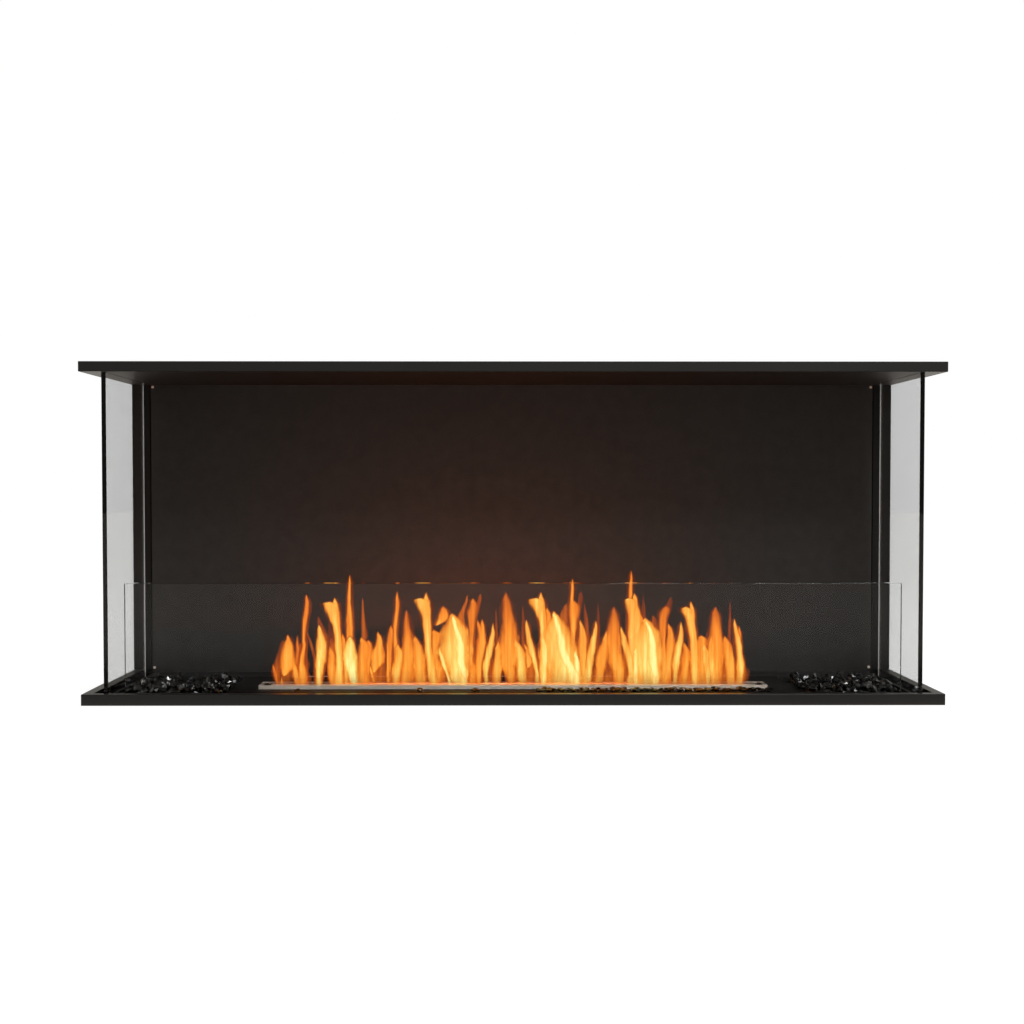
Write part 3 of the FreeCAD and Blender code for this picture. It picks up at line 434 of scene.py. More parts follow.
def breakChunk(rng, width, flat, tilt):
    shape = chunkShape
    bm = bmesh.new()
    bmesh.ops.create_icosphere(bm, subdivisions=1, radius=width / 2)
    length, breadth, height = (rng.uniform(*shape[key]) for key in ("length", "breadth", "height"))
    bmesh.ops.scale(bm, verts=bm.verts, vec=(length, breadth, height * flat))
    for cut in range(shape["cuts"]):
        way = Vector([rng.uniform(*span) for span in shape["cutFacing"]]).normalized()
        ring = bmesh.ops.bisect_plane(
            bm, geom=bm.verts[:] + bm.edges[:] + bm.faces[:], dist=shape["onPlane"],
            plane_co=way * width * rng.uniform(*shape["cutAt"]), plane_no=way, clear_outer=True)
        edges = [item for item in ring["geom_cut"] if isinstance(item, bmesh.types.BMEdge)]
        if len(edges) > 2:
            bmesh.ops.edgeloop_fill(bm, edges=edges)
    bmesh.ops.remove_doubles(bm, verts=bm.verts, dist=width * shape["weld"])
    bmesh.ops.recalc_face_normals(bm, faces=bm.faces)
    turn = Matrix.Rotation(rng.uniform(0, 2 * math.pi), 3, "Z")
    turn = turn @ Matrix.Rotation(rng.uniform(-tilt, tilt), 3, "X")
    bmesh.ops.rotate(bm, verts=bm.verts, cent=(0, 0, 0), matrix=turn)
    return bm


def findRest(cells, heights, spot, floorLevel, step):
    column, line = round(spot[0] / step), round(spot[1] / step)
    lift = max(heights.get((column + x, line + y), floorLevel) - low for (x, y), low, high in cells)
    return lift, column, line


def chunkCells(bm, step):
    tree = BVHTree.FromBMesh(bm)
    reach = math.ceil(max(max(abs(vert.co.x), abs(vert.co.y)) for vert in bm.verts) / step)
    cells = []
    for x in range(-reach, reach + 1):
        for y in range(-reach, reach + 1):
            low = tree.ray_cast(Vector((x * step, y * step, -1)), Vector((0, 0, 1)))[0]
            if low is not None:
                high = tree.ray_cast(Vector((x * step, y * step, 1)), Vector((0, 0, -1)))[0]
                cells.append(((x, y), low.z, high.z))
    return cells


def addHeap(name, heap, body):
    rng = random.Random(heap["order"])
    step = heap["step"]
    whole = bmesh.new()
    scratch = bpy.data.meshes.new("chunkScratch")
    heights = {}
    for width, spots in heap["spots"](rng):
        chunk = breakChunk(rng, width, heap["flat"], heap["tilt"])
        cells = chunkCells(chunk, step)
        lift, column, line = min(findRest(cells, heights, spot, heap["floor"], step) for spot in spots)
        for (x, y), low, high in cells:
            heights[column + x, line + y] = high + lift
        bmesh.ops.translate(chunk, verts=chunk.verts, vec=(column * step, line * step, lift))
        chunk.to_mesh(scratch)
        chunk.free()
        whole.from_mesh(scratch)
    bpy.data.meshes.remove(scratch)
    # a random number for each face, from which the glass paints a few faces pale as glints
    facet = whole.faces.layers.float.new("facet")
    for face in whole.faces:
        face[facet] = rng.random()
    piece = addPiece(name, whole, finishes["black_glass"], body)
    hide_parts(heap["node"])
    top = max(vert.co.z for vert in piece.data.vertices)
    print(name, "built,", len(piece.data.polygons), "faces, top at", round(top, 4))


def drawSpots(rng, chunks, across, along):  # a width, and places to try for it
    width = chunks["width"] * rng.uniform(*chunks["spread"])
    reach = width * chunkShape["reach"]
    return width, [(rng.uniform(*across(reach)), rng.uniform(*along(reach))) for go in range(chunks["tries"])]


boxChunks = {
    "count": 225, "width": 0.0174, "spread": (0.7, 1.15), "tries": 3, "step": 0.0014,
    "flat": 1.2, "tilt": 1.3, "wall": 0.002, "floor": 0.0028,
}


def boxSpots(node, bare):  # bare is how much of the left and right end stays free
    low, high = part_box(node)
    wall = boxChunks["wall"]

    def across(reach):
        return low.x + (wall + reach) + bare[0], high.x - (wall + reach) - bare[1]

    def along(reach):
        return low.y + (wall + reach), high.y - (wall + reach)

    return lambda rng: [drawSpots(rng, boxChunks, across, along) for item in range(boxChunks["count"])]


looseChunks = {
    "rows": [  # along the front of the burner, from and to in millimetres, and how many
        (-398, -384, 2), (-172, -160, 2), (-72, -48, 4), (40, 80, 9), (80, 130, 9),
        (130, 335, 54), (330, 470, 40),
    ],
    "width": 0.0135, "spread": (0.75, 1.15), "tries": 10, "step": 0.001, "flat": 0.54, "tilt": 0.3,
    "fromFront": 0.009, "fromBurner": 0.0005, "floor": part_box("burner_cover")[1].z,
}


def looseSpots(rng):
    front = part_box("burner_cover")[0].y + looseChunks["fromFront"]
    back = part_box("burner_frame")[0].y - looseChunks["fromBurner"]
    found = []
    for start, end, count in looseChunks["rows"]:
        for item in range(count):
            found.append(drawSpots(rng, looseChunks, lambda reach: (start * millimetre, end * millimetre),
                                   lambda reach: (front, back - reach)))
    return found


rightHeap = dict(boxChunks, node="media_stones_right", order=4,
                 spots=boxSpots("media_box_right", (0.016, 0.0)))  # its inner end lies bare
leftHeap = dict(boxChunks, node="media_stones_left", order=7, spots=boxSpots("media_box_left", (0.0, 0.004)))
frontHeap = dict(looseChunks, node="media_stones_front", order=3, spots=looseSpots)
addHeap("glassChunksRight", rightHeap, "media_right")
addHeap("glassChunksLeft", leftHeap, "media_left")
addHeap("glassChunksFront", frontHeap, "burner")


# the chamfered top edge of the front screen, which catches the flames behind it, and the lip of the rear deck

screenEdge = {"chamfer": 0.001, "clear": 0.00005, "inset": 0.001}
deckLip = {
    "height": 0.0009, "depth": 0.0012, "inset": 0.036,  # from the ends of the burner frame
    "outline": [(0, 0), (1, 0), (1, 0.6), (0.6, 1), (0.25, 1), (0, 0.6)],  # of the depth and the height
}


def addPrism(name, ends, section, material, body):
    bm = bmesh.new()
    face = bm.faces.new([bm.verts.new((ends[0], *corner)) for corner in section])
    made = bmesh.ops.extrude_face_region(bm, geom=[face])["geom"]
    verts = [item for item in made if isinstance(item, bmesh.types.BMVert)]
    bmesh.ops.translate(bm, verts=verts, vec=(ends[1] - ends[0], 0, 0))
    settleFaces(bm)
    piece = addPiece(name, bm, material, body)
    print(name, "built")


def addScreenEdge(edge):
    low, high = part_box("front_glass")
    size, level = edge["chamfer"], high.z + edge["clear"]
    addPrism("screenTopEdge", (low.x + edge["inset"], high.x - edge["inset"]),
             [(high.y - size, level), (high.y, level), (high.y, level + size)],
             finishes["clear_glass"], "front_screen")


def addDeckLip(lip):
    front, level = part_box("rear_deck")[0].y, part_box("burner_cover")[1].z
    low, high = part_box("burner_frame")
    addPrism("deckLip", (low.x + lip["inset"], high.x - lip["inset"]),
             [(front + lip["depth"] * along, level + lip["height"] * up) for along, up in lip["outline"]],
             finishes["stainless"], "firebox")


addScreenEdge(screenEdge)
addDeckLip(deckLip)


# flames: closed tongues drawn as outlines; each has its heat, how much it cools towards the tip, then in
# millimetres rows of height, left and right, and the tip as height and place; those from 0 stand in the slot

flameOutlines = {
    "flamesDark": [
        (0.24, 0.4, [(0, -434, -427), (50, -444, -430), (80, -436, -424), (95, -431, -420), (102, -428)]),
        (0.26, 0.4, [(0, -369, -364), (50, -369, -363), (70, -371, -365), (90, -376, -370),
                     (105, -380, -375), (122, -383)]),
        (0.30, 0.5, [(0, -362, -352), (60, -364, -342), (90, -362, -339), (110, -361, -342),
                     (130, -362, -351), (148, -361)]),
        (0.20, 0.5, [(0, -338, -330), (70, -345, -330), (105, -343, -332), (125, -343, -335), (138, -341)]),
        (0.30, 0.3, [(0, -280, -268), (90, -281, -272), (110, -281, -268), (125, -281, -270),
                     (140, -281, -273), (155, -281, -275), (170, -280, -276), (182, -278)]),
        (0.24, 0.3, [(0, -234, -222), (60, -236, -222), (85, -234, -220), (100, -228)]),
        (0.40, 0.4, [(0, -88, -78), (80, -92, -76), (110, -100, -82), (130, -104, -87), (143, -105, -90),
                     (155, -99, -89), (165, -94, -86), (175, -89, -83), (187, -84)]),
        (0.32, 0.4, [(0, -77, -72), (100, -76, -71), (130, -75, -69), (150, -73, -65), (165, -70, -61),
                     (178, -66, -57), (189, -60)]),
        (0.30, 0.3, [(0, -72, -54), (40, -73, -56), (70, -74, -53), (95, -71, -52), (110, -62)]),
        (0.25, 0.3, [(0, -33, -28), (100, -34, -28), (130, -34, -29), (145, -33, -30), (162, -32)]),
        (0.22, 0.3, [(0, -16, 6), (40, -18, 8), (70, -22, 10), (95, -6)]),
        (0.25, 0.3, [(0, 16, 22), (100, 14, 22), (130, 15, 22), (150, 16, 21), (168, 18)]),
        (0.24, 0.3, [(0, 26, 40), (40, 24, 42), (70, 24, 44), (92, 34)]),
        (0.38, 0.4, [(0, 90, 102), (100, 88, 104), (130, 84, 104), (145, 84, 104), (155, 88, 103),
                     (162, 92, 102), (170, 99)]),
        (0.24, 0.3, [(0, 118, 124), (120, 114, 122), (150, 116, 124), (170, 118, 129), (182, 120, 131),
                     (194, 126)]),
        (0.25, 0.3, [(0, 134, 140), (100, 134, 142), (130, 131, 141), (145, 130, 138), (155, 130, 136),
                     (172, 132)]),
        (0.22, 0.3, [(0, 154, 161), (100, 153, 162), (130, 154, 161), (150, 155, 160), (176, 157)]),
        (0.26, 0.3, [(0, 168, 184), (30, 166, 186), (60, 166, 186), (84, 176)]),
        (0.22, 0.3, [(0, 240, 246), (130, 237, 247), (160, 238, 245), (190, 241)]),
        (0.38, 0.4, [(0, 260, 272), (100, 258, 272), (120, 252, 270), (132, 252, 268), (140, 256, 266),
                     (149, 259)]),
        (0.22, 0.3, [(0, 276, 284), (120, 272, 286), (150, 274, 291), (165, 281, 295), (173, 286, 297),
                     (182, 293)]),
        (0.30, 0.3, [(0, 278, 294), (60, 279, 294), (90, 280, 296), (106, 288)]),
        (0.22, 0.3, [(0, 398, 404), (110, 397, 405), (140, 399, 405), (155, 400, 404), (178, 402)]),
        (0.36, 0.3, [(0, 420, 424), (45, 424, 430), (60, 423, 428), (82, 425)]),
    ],
    "flamesOrange": [
        (0.44, 0.3, [(0, -436, -432), (40, -443, -436), (58, -444)]),
        (0.68, 0.2, [(0, -430, -424), (36, -427)]),
        (0.66, 0.2, [(37, -424, -420), (42, -427, -414), (50, -429, -405), (60, -430, -401),
                     (75, -429, -402), (90, -424, -404), (100, -420, -408), (107, -417, -411),
                     (113, -415)]),
        (0.70, 0.2, [(0, -403, -394), (35, -405, -394), (48, -406, -396), (64, -404)]),
        (0.42, 0.3, [(0, -403, -396), (60, -404, -397), (85, -401, -395), (112, -399)]),
        (0.68, 0.3, [(0, -401, -379), (40, -396, -381), (60, -394, -385), (75, -392, -384),
                     (90, -388, -382), (98, -386, -382), (106, -384)]),
        (0.52, 0.1, [(0, -391, -386), (60, -389, -385), (100, -389, -384), (130, -388, -381),
                     (150, -386, -378), (170, -384, -376), (178, -383, -378), (187, -381)]),
        (0.64, 0.3, [(0, -338, -318), (45, -342, -322), (60, -342, -326), (75, -340, -327), (92, -338)]),
        (0.66, 0.2, [(0, -314, -302), (60, -313, -305), (90, -316, -308), (105, -316, -309), (116, -314)]),
        (0.66, 0.3, [(0, -290, -264), (40, -288, -267), (60, -287, -268), (80, -285, -265),
                     (92, -284, -262), (99, -282, -268), (108, -280)]),
        (0.58, 0.2, [(0, -280, -266), (70, -276, -261), (90, -274, -259), (98, -270, -262), (103, -267)]),
        (0.56, 0.1, [(0, -304, -299), (60, -305, -298), (100, -308, -296), (130, -308, -296),
                     (150, -307, -297), (170, -306, -299), (190, -305, -299), (210, -303, -299),
                     (224, -301)]),
        (0.66, 0.2, [(43, -259, -255), (48, -260, -250), (55, -262, -243), (62, -263, -237),
                     (75, -263, -237), (85, -259, -238), (92, -255, -239), (100, -253, -240),
                     (110, -251, -243), (119, -249)]),
        (0.68, 0.2, [(0, -259, -253), (32, -261, -256), (42, -264, -258), (58, -264)]),
        (0.64, 0.3, [(0, -234, -226), (40, -234, -228), (70, -233, -229), (90, -233, -230), (102, -232)]),
        (0.55, 0.2, [(0, -229, -226), (60, -231, -225), (90, -232, -223), (108, -232, -221),
                     (120, -229, -221), (131, -225)]),
        (0.50, 0.1, [(0, -218, -212), (90, -221, -213), (110, -221, -215), (130, -221, -214),
                     (145, -220, -212), (160, -218, -210), (175, -217, -210), (193, -214)]),
        (0.64, 0.6, [(0, -210, -184), (50, -207, -184), (75, -206, -181), (95, -205, -183),
                     (110, -203, -185), (125, -202, -189), (138, -201, -191), (148, -199, -193),
                     (159, -196)]),
        (0.70, 0.3, [(0, -181, -158), (40, -183, -160), (60, -185, -161), (75, -185, -162),
                     (90, -185, -166), (100, -184, -172), (111, -181)]),
        (0.62, 0.2, [(0, -146, -135), (50, -148, -131), (70, -150, -137), (90, -151, -136),
                     (105, -152, -132), (115, -151, -132), (122, -146)]),
        (0.62, 0.3, [(130, -143, -140), (137, -142, -126), (143, -139, -119), (150, -137, -119),
                     (157, -134, -122), (166, -128)]),
        (0.62, 0.4, [(0, -82, -74), (80, -80, -75), (100, -80, -74), (115, -81, -73), (130, -82, -71),
                     (145, -84, -69), (155, -84, -67), (163, -82, -66), (171, -79, -67), (180, -74)]),
        (0.60, 0.3, [(0, -72, -60), (60, -70, -58), (80, -69, -54), (100, -66, -52), (115, -64, -54),
                     (127, -66, -58), (140, -66)]),
        (0.64, 0.2, [(0, -66, -58), (60, -64, -57), (90, -66, -50), (105, -64, -50), (118, -61, -52),
                     (130, -60, -53), (142, -57)]),
        (0.62, 0.3, [(0, -79, -68), (40, -81, -67), (55, -80, -68), (72, -78)]),
        (0.64, 0.3, [(0, -67, -60), (40, -66, -60), (60, -65, -61), (77, -63)]),
        (0.72, 0.2, [(0, -40, -24), (40, -39, -21), (55, -37, -21), (70, -35, -22), (85, -34, -20),
                     (100, -27)]),
        (0.64, 0.6, [(0, -8, 2), (40, -16, 4), (55, -25, 5), (70, -29, 13), (85, -31, 16), (100, -27, 12),
                     (115, -22, 8), (130, -21, 5), (145, -21, 2), (160, -20, -2), (174, -19, -6),
                     (192, -13)]),
        (0.64, 0.3, [(52, 25, 30), (62, 22, 36), (75, 22, 36), (85, 22, 31), (97, 20)]),
        (0.64, 0.2, [(0, 56, 72), (100, 56, 75), (130, 58, 74), (145, 59, 71), (154, 60, 68), (163, 62)]),
        (0.66, 0.3, [(0, 108, 116), (100, 106, 114), (130, 105, 117), (150, 102, 121), (160, 102, 122),
                     (169, 103, 120), (176, 112)]),
        (0.54, 0.1, [(0, 108, 112), (140, 105, 112), (160, 104, 110), (175, 105, 111), (190, 106, 112),
                     (203, 107, 112), (216, 110)]),
        (0.68, 0.2, [(0, 126, 138), (60, 122, 135), (85, 120, 136), (100, 120, 137), (110, 121, 136),
                     (120, 122, 133), (130, 122, 129), (141, 123)]),
        (0.66, 0.6, [(0, 186, 206), (45, 184, 206), (60, 177, 204), (80, 172, 200), (100, 169, 199),
                     (115, 173, 198), (130, 176, 197), (142, 178, 195), (152, 181, 192), (165, 186)]),
        (0.68, 0.3, [(0, 150, 165), (40, 152, 168), (60, 152, 172), (75, 153, 175), (90, 158, 176),
                     (100, 164, 177), (120, 172)]),
        (0.55, 0.1, [(0, 212, 218), (150, 212, 218), (175, 212, 219), (190, 213, 220), (205, 214, 220),
                     (217, 216, 220), (232, 218)]),
        (0.66, 0.3, [(0, 228, 240), (110, 226, 242), (130, 226, 241), (143, 228, 239), (160, 231)]),
        (0.62, 0.4, [(0, 272, 286), (60, 272, 285), (90, 274, 281), (105, 274, 281), (120, 270, 282),
                     (135, 269, 283), (145, 269, 285), (152, 270, 288), (159, 274, 289), (166, 284)]),
        (0.62, 0.2, [(0, 280, 292), (60, 280, 294), (85, 280, 298), (100, 281, 298), (108, 283, 297),
                     (115, 285, 296), (125, 285, 292), (134, 286)]),
        (0.64, 0.3, [(0, 304, 326), (40, 308, 325), (55, 310, 325), (70, 308, 328), (80, 312, 328),
                     (88, 313, 323), (99, 315)]),
        (0.62, 0.2, [(0, 340, 360), (50, 338, 359), (75, 337, 359), (90, 336, 359), (100, 338, 358),
                     (106, 341, 356), (111, 347)]),
        (0.66, 0.6, [(0, 366, 384), (40, 364, 385), (60, 360, 389), (80, 356, 391), (90, 357, 391),
                     (100, 360, 389), (110, 362, 386), (125, 363, 384), (140, 365, 382), (150, 367, 381),
                     (165, 374)]),
        (0.70, 0.3, [(0, 396, 412), (45, 392, 409), (60, 390, 409), (75, 388, 407), (90, 387, 403),
                     (100, 387, 399), (111, 390)]),
        (0.56, 0.2, [(0, 415, 419), (90, 415, 420), (105, 415, 421), (116, 415, 421), (129, 417)]),
    ],
    "flamesBright": [
        (0.84, 0.2, [(0, -366, -352), (40, -365, -350), (55, -364, -347), (70, -363, -344),
                     (85, -362, -342), (100, -361, -344), (110, -360, -347), (120, -360, -351),
                     (132, -357)]),
        (0.78, 0.1, [(0, -336, -312), (40, -331, -312), (60, -327, -313), (80, -327, -316),
                     (100, -328, -317), (115, -329, -318), (130, -332, -320), (145, -339, -321),
                     (155, -344, -321), (163, -348, -321), (168, -350, -321), (171, -350, -322),
                     (174, -336)]),
        (0.74, 0.1, [(0, -330, -312), (60, -324, -312), (100, -325, -315), (130, -327, -318),
                     (150, -330, -319), (162, -331, -320), (172, -331, -323), (182, -328)]),
        (0.98, 0.2, [(0, -300, -283), (35, -306, -284), (45, -308, -284), (60, -312, -284),
                     (75, -314, -285), (88, -312, -287), (97, -308, -289), (104, -304, -293), (111, -299)]),
        (0.78, 0.2, [(0, -223, -210), (40, -224, -206), (60, -221, -203), (75, -218, -202),
                     (85, -216, -204), (97, -212)]),
        (0.80, 0.1, [(0, -156, -138), (60, -160, -145), (90, -163, -151), (120, -165, -153),
                     (145, -168, -154), (160, -174, -154), (170, -179, -153), (175, -181, -153),
                     (178, -181, -155), (181, -168)]),
        (0.76, 0.1, [(0, -152, -137), (60, -158, -143), (90, -161, -149), (120, -161, -150),
                     (150, -162, -151), (165, -164, -152), (178, -164, -155), (191, -160)]),
        (0.84, 0.2, [(0, -112, -84), (30, -120, -82), (40, -122, -80), (50, -126, -79), (60, -131, -78),
                     (70, -136, -77), (80, -141, -76), (90, -140, -75), (100, -137, -76), (110, -134, -78),
                     (120, -132, -82), (130, -128, -88), (140, -121, -96), (147, -117, -104), (153, -112)]),
        (0.84, 0.2, [(0, -54, -44), (40, -56, -46), (55, -57, -44), (70, -54, -40), (85, -51, -37),
                     (95, -48, -35), (110, -43, -34), (120, -40, -34), (136, -37)]),
        (0.80, 0.2, [(0, 8, 28), (40, 6, 26), (55, 5, 25), (70, 4, 24), (80, 3, 22), (90, 2, 18),
                     (106, 4)]),
        (0.84, 0.2, [(0, 38, 50), (40, 40, 48), (50, 38, 46), (60, 36, 45), (70, 33, 43), (80, 28, 41),
                     (90, 26, 39), (100, 24, 36), (110, 23, 33), (120, 22, 31), (130, 22, 28), (142, 24)]),
        (0.80, 0.1, [(0, 48, 60), (80, 49, 62), (115, 50, 60), (135, 47, 58), (150, 42, 58), (162, 35, 57),
                     (171, 31, 57), (175, 30, 57), (178, 30, 55), (181, 42)]),
        (0.76, 0.1, [(0, 52, 64), (80, 52, 66), (115, 52, 63), (135, 51, 62), (150, 50, 61), (165, 48, 59),
                     (178, 47, 57), (192, 51)]),
        (0.84, 0.2, [(0, 62, 128), (35, 60, 129), (50, 55, 128), (65, 52, 127), (80, 50, 124),
                     (95, 50, 117), (105, 52, 112), (115, 54, 109), (125, 58, 104), (135, 64, 95),
                     (142, 69, 89), (149, 71, 83), (157, 75)]),
        (0.82, 0.2, [(0, 128, 144), (40, 131, 146), (60, 133, 148), (75, 135, 149), (90, 138, 152),
                     (100, 141, 153), (110, 144, 154), (120, 147, 155), (130, 150, 155), (139, 152)]),
        (0.86, 0.2, [(0, 205, 222), (40, 212, 224), (55, 209, 223), (68, 206, 221), (78, 204, 218),
                     (88, 201, 215), (98, 199, 211), (108, 198, 208), (118, 197, 203), (130, 198)]),
        (0.80, 0.1, [(0, 214, 226), (100, 212, 224), (130, 211, 224), (150, 212, 224), (163, 208, 227),
                     (172, 205, 227), (177, 205, 225), (181, 214)]),
        (0.76, 0.1, [(0, 220, 232), (100, 220, 236), (130, 218, 236), (145, 218, 235), (158, 219, 232),
                     (170, 219, 230), (180, 220, 228), (190, 223)]),
        (0.84, 0.2, [(0, 222, 278), (35, 220, 280), (50, 216, 280), (65, 214, 279), (80, 212, 279),
                     (90, 212, 277), (100, 214, 276), (110, 219, 274), (120, 226, 269), (130, 233, 259),
                     (137, 237, 252), (145, 243)]),
        (0.82, 0.2, [(0, 293, 303), (40, 294, 304), (55, 292, 306), (70, 293, 309), (85, 297, 311),
                     (95, 299, 312), (105, 302, 313), (115, 304, 313), (125, 306, 312), (138, 309)]),
        (0.78, 0.1, [(0, 328, 342), (60, 326, 338), (100, 326, 336), (120, 322, 333), (135, 320, 332),
                     (147, 315, 333), (155, 309, 332), (160, 309, 331), (165, 318)]),
        (0.74, 0.1, [(0, 330, 346), (60, 326, 343), (100, 327, 339), (130, 322, 336), (145, 323, 335),
                     (157, 324, 334), (165, 325, 331), (175, 327)]),
        (0.82, 0.2, [(0, 356, 366), (40, 352, 365), (55, 349, 363), (70, 346, 362), (82, 348, 361),
                     (98, 352)]),
        (0.78, 0.3, [(0, 364, 376), (45, 362, 376), (65, 358, 372), (80, 357, 371), (92, 360, 371),
                     (114, 366)]),
        (0.82, 0.2, [(0, 411, 422), (40, 412, 426), (50, 412, 427), (65, 412, 425), (80, 411, 422),
                     (90, 410, 421), (100, 408, 419), (110, 407, 417), (120, 406, 414), (130, 405, 411),
                     (143, 407)]),
    ],
    "flameCores": [
        (1.02, 0.1, [(0, -98, -84), (40, -98, -83), (60, -103, -86), (75, -106, -87), (90, -107, -88),
                     (105, -106, -91), (120, -109, -97), (135, -113, -103), (149, -111)]),
        (0.93, 0.1, [(0, -118, -112), (45, -126, -120), (60, -132, -123), (75, -137, -127), (94, -136)]),
        (1.02, 0.1, [(0, 104, 124), (40, 100, 123), (60, 92, 112), (75, 84, 104), (90, 80, 100),
                     (105, 79, 97), (120, 77, 92), (135, 73, 86), (147, 72, 81), (155, 75)]),
        (1.02, 0.1, [(0, 114, 124), (40, 112, 124), (60, 110, 123), (72, 111, 120), (86, 114)]),
        (0.90, 0.1, [(0, 50, 62), (50, 48, 64), (75, 50, 64), (95, 51, 63), (120, 55)]),
        (1.02, 0.1, [(0, 256, 270), (40, 254, 270), (60, 248, 268), (75, 246, 266), (90, 247, 264),
                     (105, 247, 262), (118, 246, 258), (130, 243, 252), (143, 243)]),
        (0.98, 0.1, [(0, 222, 232), (45, 220, 231), (65, 220, 230), (78, 221, 229), (94, 226)]),
        (0.92, 0.1, [(0, -362, -354), (50, -361, -353), (80, -358, -349), (104, -355)]),
    ],
}

tongueShape = {
    "sides": 12, "widen": 1.12, "leastWidth": 0.4,  # millimetres
    "between": 2,  # rings per drawn row
    "depth": (0.0012, 0.45, 0.008),  # half: the least, of the half width, and the most
    "footHalf": 0.0052, "footRise": 0.024,  # inside the slot, up to this level
    "footClear": 0.0003,  # foot above the strip
    "footStep": 2.0,  # millimetres from the foot to the next row, at the least
    "lean": (0.012, -0.020), "leanHeat": (0.25, 1.0), "leanBy": 0.06,  # the hotter, the further in front
}

flameVeil = {
    "order": 21, "count": 46, "span": (-424, 424), "height": (44, 112), "half": (9, 22),
    "heat": (0.26, 0.40), "cooling": 0.5, "drift": 9, "within": (0.05, 0.95),
    "outline": [(0.0, 0.5), (0.3, 0.9), (0.5, 1.0), (0.7, 0.75), (0.88, 0.4)],  # of height and half width
}


def veilTongues(veil):  # faint red ones behind, at random
    rng = random.Random(veil["order"])
    start, end = veil["span"]
    found = []
    for index in range(veil["count"]):
        foot = start + (end - start) * (index + rng.uniform(*veil["within"])) / veil["count"]
        height = rng.uniform(*veil["height"])
        half = rng.uniform(*veil["half"])
        drift = rng.uniform(-1, 1) * veil["drift"]
        rows = [(height * rise, foot + drift * rise - half * share, foot + drift * rise + half * share)
                for rise, share in veil["outline"]]
        found.append((rng.uniform(*veil["heat"]), veil["cooling"], rows + [(height, foot + drift)]))
    return found


flameHalo = {"heat": 0.22, "cooling": 0.5, "wider": 4.5, "taller": 2.0, "behind": 0.2}


def haloTongues(halo):  # the dim fringe round the drawn ones, each a little behind its own
    found = []
    for heat, cooling, rows in flameOutlines["flamesOrange"] + flameOutlines["flamesBright"]:
        wider = [(height, left - halo["wider"], right + halo["wider"]) for height, left, right in rows[:-1]]
        tip = (rows[-1][0] + halo["taller"], rows[-1][1])
        found.append((halo["heat"], halo["cooling"], wider + [tip], heat - halo["behind"]))
    return found


def smoothRows(rows, steps):
    marks = [row if len(row) == 3 else (row[0], row[1], row[1]) for row in rows]
    found = []
    for index in range(len(marks) - 1):
        before, start, end = marks[max(index - 1, 0)], marks[index], marks[index + 1]
        after = marks[min(index + 2, len(marks) - 1)]
        for step in range(steps):
            t = step / steps
            found.append([b + ((c - a) * t + (2 * a - 5 * b + 4 * c - d) * t ** 2
                               + (3 * b - a - 3 * c + d) * t ** 3) / 2
                          for a, b, c, d in zip(before, start, end, after)])
    return found, marks[-1]


def addTongue(bm, layers, tongue, footLevel, slotMiddle):
    heat, cooling, drawn, *rank = tongue  # a fringe is ranked by its own flame, the others by their heat
    shape = tongueShape
    foot = footLevel / millimetre
    drawn = [(max(row[0], foot + shape["footStep"] * bool(step)), *row[1:]) for step, row in enumerate(drawn)]
    rows, tip = smoothRows(drawn, shape["between"])
    cool, hot = shape["leanHeat"]
    back, front = shape["lean"]
    rank = min(max(((rank or [heat])[0] - cool) / (hot - cool), 0.0), 1.0)
    lean = back + (front - back) * rank
    least, share, most = shape["depth"]
    ring = bmesh.ops.create_circle(bm, segments=shape["sides"], radius=1.0)["verts"]
    edges = list(dict.fromkeys(edge for vert in ring for edge in vert.link_edges))
    for vert in ring:
        vert[layers["across"]], vert[layers["around"]] = vert.co.x, vert.co.y
        vert[layers["hotness"]], vert[layers["cooling"]] = heat, cooling
    bmesh.ops.edgeloop_fill(bm, edges=edges)
    for step, (height, left, right) in enumerate(rows):
        if step:
            made = bmesh.ops.extrude_edge_only(bm, edges=edges)["geom"]
            ring = [item for item in made if isinstance(item, bmesh.types.BMVert)]
            edges = [item for item in made if isinstance(item, bmesh.types.BMEdge)]
            edges = [edge for edge in edges if all(vert in ring for vert in edge.verts)]
        level = height * millimetre
        half = max(right - left, shape["leastWidth"]) * millimetre / 2 * shape["widen"]
        depth = min(least + share * half, most, shape["footHalf"] + max(0.0, level - shape["footRise"]))
        middle = slotMiddle + lean * min(1.0, max(0.0, level - footLevel) / shape["leanBy"])
        for vert in ring:
            vert.co = ((left + right) / 2 * millimetre + vert[layers["across"]] * half,
                       middle + vert[layers["around"]] * depth, level)
            vert[layers["rise"]] = (height - rows[0][0]) / (tip[0] - rows[0][0])
    bmesh.ops.pointmerge(bm, verts=ring, merge_co=(tip[1] * millimetre, middle, tip[0] * millimetre))


flameLook = {
    "stops": [(0.0, (0.12, 0.014, 0.004)), (0.18, (0.42, 0.065, 0.010)), (0.36, (0.84, 0.185, 0.016)),
              (0.54, (1.0, 0.29, 0.026)), (0.72, (1.0, 0.45, 0.068)), (0.86, (1.0, 0.68, 0.155)),
              (1.0, (1.0, 0.92, 0.34))],
    "strength": 1.08,
    "noiseDetail": 3.0, "noiseSpan": (0.3, 0.7),
    "streak": (170.0, 60.0, 12.0), "streakHeat": 0.10, "streakCover": (0.8, 1.1),
    "lick": (150.0, 60.0, 48.0), "lickDepth": 0.42,  # how far the edge is torn
    "roundness": 2.0,  # how fast the edge is left behind towards the middle, as a power
    "rim": 0.50,  # heat at the edge of a tongue, of that in its middle
    "soft": 0.90,  # the share of the edge that fades
    "footHeat": 1.04,  # at the foot, of the tongue's own heat
    "coolsBy": 1.8, "fadesBy": 2.4,  # powers of the height that cool and fade the tip
    "fullHeat": (0.2, 0.66), "cover": (0.34, 1.0),  # cool flames cover less
    "clearFoot": (0.0150, 0.0500),  # the foot of a flame is clear
}


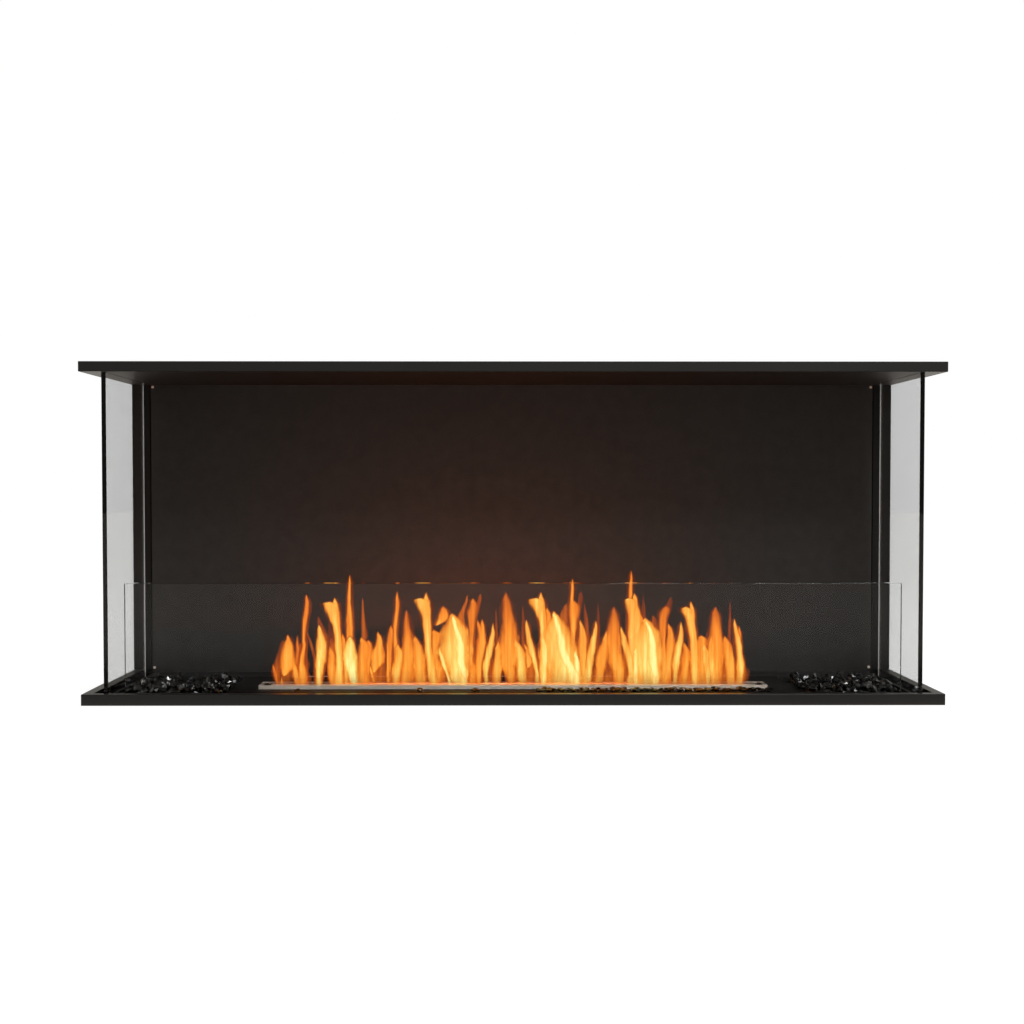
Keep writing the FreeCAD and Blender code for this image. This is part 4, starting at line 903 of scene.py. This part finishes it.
def makeFlame(name, look):
    material, tree, shader = newMaterial(name)
    across, rise, heat, cooling = (
        addNode(tree, "ShaderNodeAttribute", {"attribute_name": key}).outputs["Fac"]
        for key in ("across", "rise", "hotness", "cooling"))
    place = findPlace(tree)
    streak, torn = (addNoise(tree, stretchPlace(tree, place, look[key]), 1.0, look["noiseDetail"])
                    for key in ("streak", "lick"))
    edge = calc(tree, "POWER", calc(tree, "ABSOLUTE", across), look["roundness"])
    edge = calc(tree, "SUBTRACT", 1.0, edge)
    tear = mapRange(tree, torn, *look["noiseSpan"], -look["lickDepth"], look["lickDepth"])
    edge = calc(tree, "ADD", edge, multiply(tree, tear, calc(tree, "SUBTRACT", 1.0, edge)), clamp=True)
    cooled = multiply(tree, calc(tree, "POWER", rise, look["coolsBy"]), cooling)
    warmth = multiply(tree, heat, calc(tree, "SUBTRACT", look["footHeat"], cooled))
    warmth = multiply(tree, warmth, mapRange(tree, edge, 0.0, 1.0, look["rim"], 1.0))
    flicker = mapRange(tree, streak, *look["noiseSpan"], -look["streakHeat"], look["streakHeat"])
    ramp = addNode(tree, "ShaderNodeValToRGB", None, Fac=calc(tree, "ADD", warmth, flicker))
    stops = ramp.color_ramp.elements
    for position, colour in look["stops"][1:-1]:
        stops.new(position).color = (*colour, 1)
    stops[0].color = (*look["stops"][0][1], 1)
    stops[len(stops) - 1].color = (*look["stops"][-1][1], 1)
    faded = multiply(tree, calc(tree, "POWER", rise, look["fadesBy"]), cooling)
    alpha = mapRange(tree, edge, 0.0, look["soft"], 0.0, 1.0, "SMOOTHSTEP")
    alpha = multiply(tree, alpha, calc(tree, "SUBTRACT", 1.0, faded))
    alpha = multiply(tree, alpha, mapRange(tree, heat, *look["fullHeat"], *look["cover"]))
    alpha = multiply(tree, alpha, mapRange(tree, pickAxis(tree, place, "Z"), *look["clearFoot"], 0.0, 1.0))
    cover = mapRange(tree, streak, *look["noiseSpan"], *look["streakCover"])
    tree.links.new(multiply(tree, alpha, cover, clamp=True), shader.inputs["Alpha"])
    tree.links.new(ramp.outputs[0], shader.inputs["Emission Color"])
    shader.inputs["Emission Strength"].default_value = look["strength"]
    shader.inputs["Base Color"].default_value = (0, 0, 0, 1)
    shader.inputs["Roughness"].default_value = 1.0
    shader.inputs["Specular IOR Level"].default_value = 0.0
    return material


def addFlames():
    frameLow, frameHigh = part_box("burner_frame")
    slotMiddle = (frameLow.y + frameHigh.y) / 2
    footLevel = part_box("wick_grate")[1].z + tongueShape["footClear"]
    material = makeFlame("ethanolFlame", flameLook)
    for name, tongues in [("flamesVeil", veilTongues(flameVeil)), ("flamesHalo", haloTongues(flameHalo)),
                          *flameOutlines.items()]:
        bm = bmesh.new()
        layers = {key: bm.verts.layers.float.new(key)
                  for key in ("across", "around", "rise", "hotness", "cooling")}
        for tongue in tongues:
            addTongue(bm, layers, tongue, footLevel, slotMiddle)
        settleFaces(bm)
        for face in bm.faces:
            face.smooth = True
        piece = addPiece(name, bm, material, "burner")
        piece.visible_shadow = False
        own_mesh(piece)
        print(name, "built,", len(tongues), "tongues,", len(piece.data.polygons), "faces")


addFlames()

# both glows come from under the shutter, so that it puts them out; the fire is hottest left of the middle,
# and panelGlow stands at the front of the slot, from where it reaches low on the back panel
fireGlow = {
    "watts": 3.9, "colour": (1.0, 0.26, 0.08), "size": (0.54, 0.001),
    "aside": (-0.05, 0.0), "rise": 0.0006, "aim": (0, -0.3, 1),
}
panelGlow = {
    "watts": 3.5, "colour": (1.0, 0.24, 0.09), "size": (0.36, 0.0007),
    "aside": (-0.075, -0.0062), "rise": 0.0009, "aim": (0, 1, -0.1),
}


def addGlow(name, glow):
    low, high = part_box("burner_frame")
    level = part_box("wick_grate")[1].z + glow["rise"]
    place = Vector(((low.x + high.x) / 2 + glow["aside"][0], (low.y + high.y) / 2 + glow["aside"][1], level))
    lamp = addAreaLamp(name, place, place + Vector(glow["aim"]), glow["size"], glow["watts"], glow["colour"])
    lamp.visible_glossy = False
    lamp.visible_transmission = False
    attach(lamp, "burner")


addGlow("fireGlow", fireGlow)
addGlow("panelGlow", panelGlow)
print("glow of the fire set")
seeThroughLayers = 48  # flame surfaces that a ray may pass
bpy.context.scene.cycles.transparent_max_bounces = seeThroughLayers
bpy.context.scene.view_settings.view_transform = "Standard"
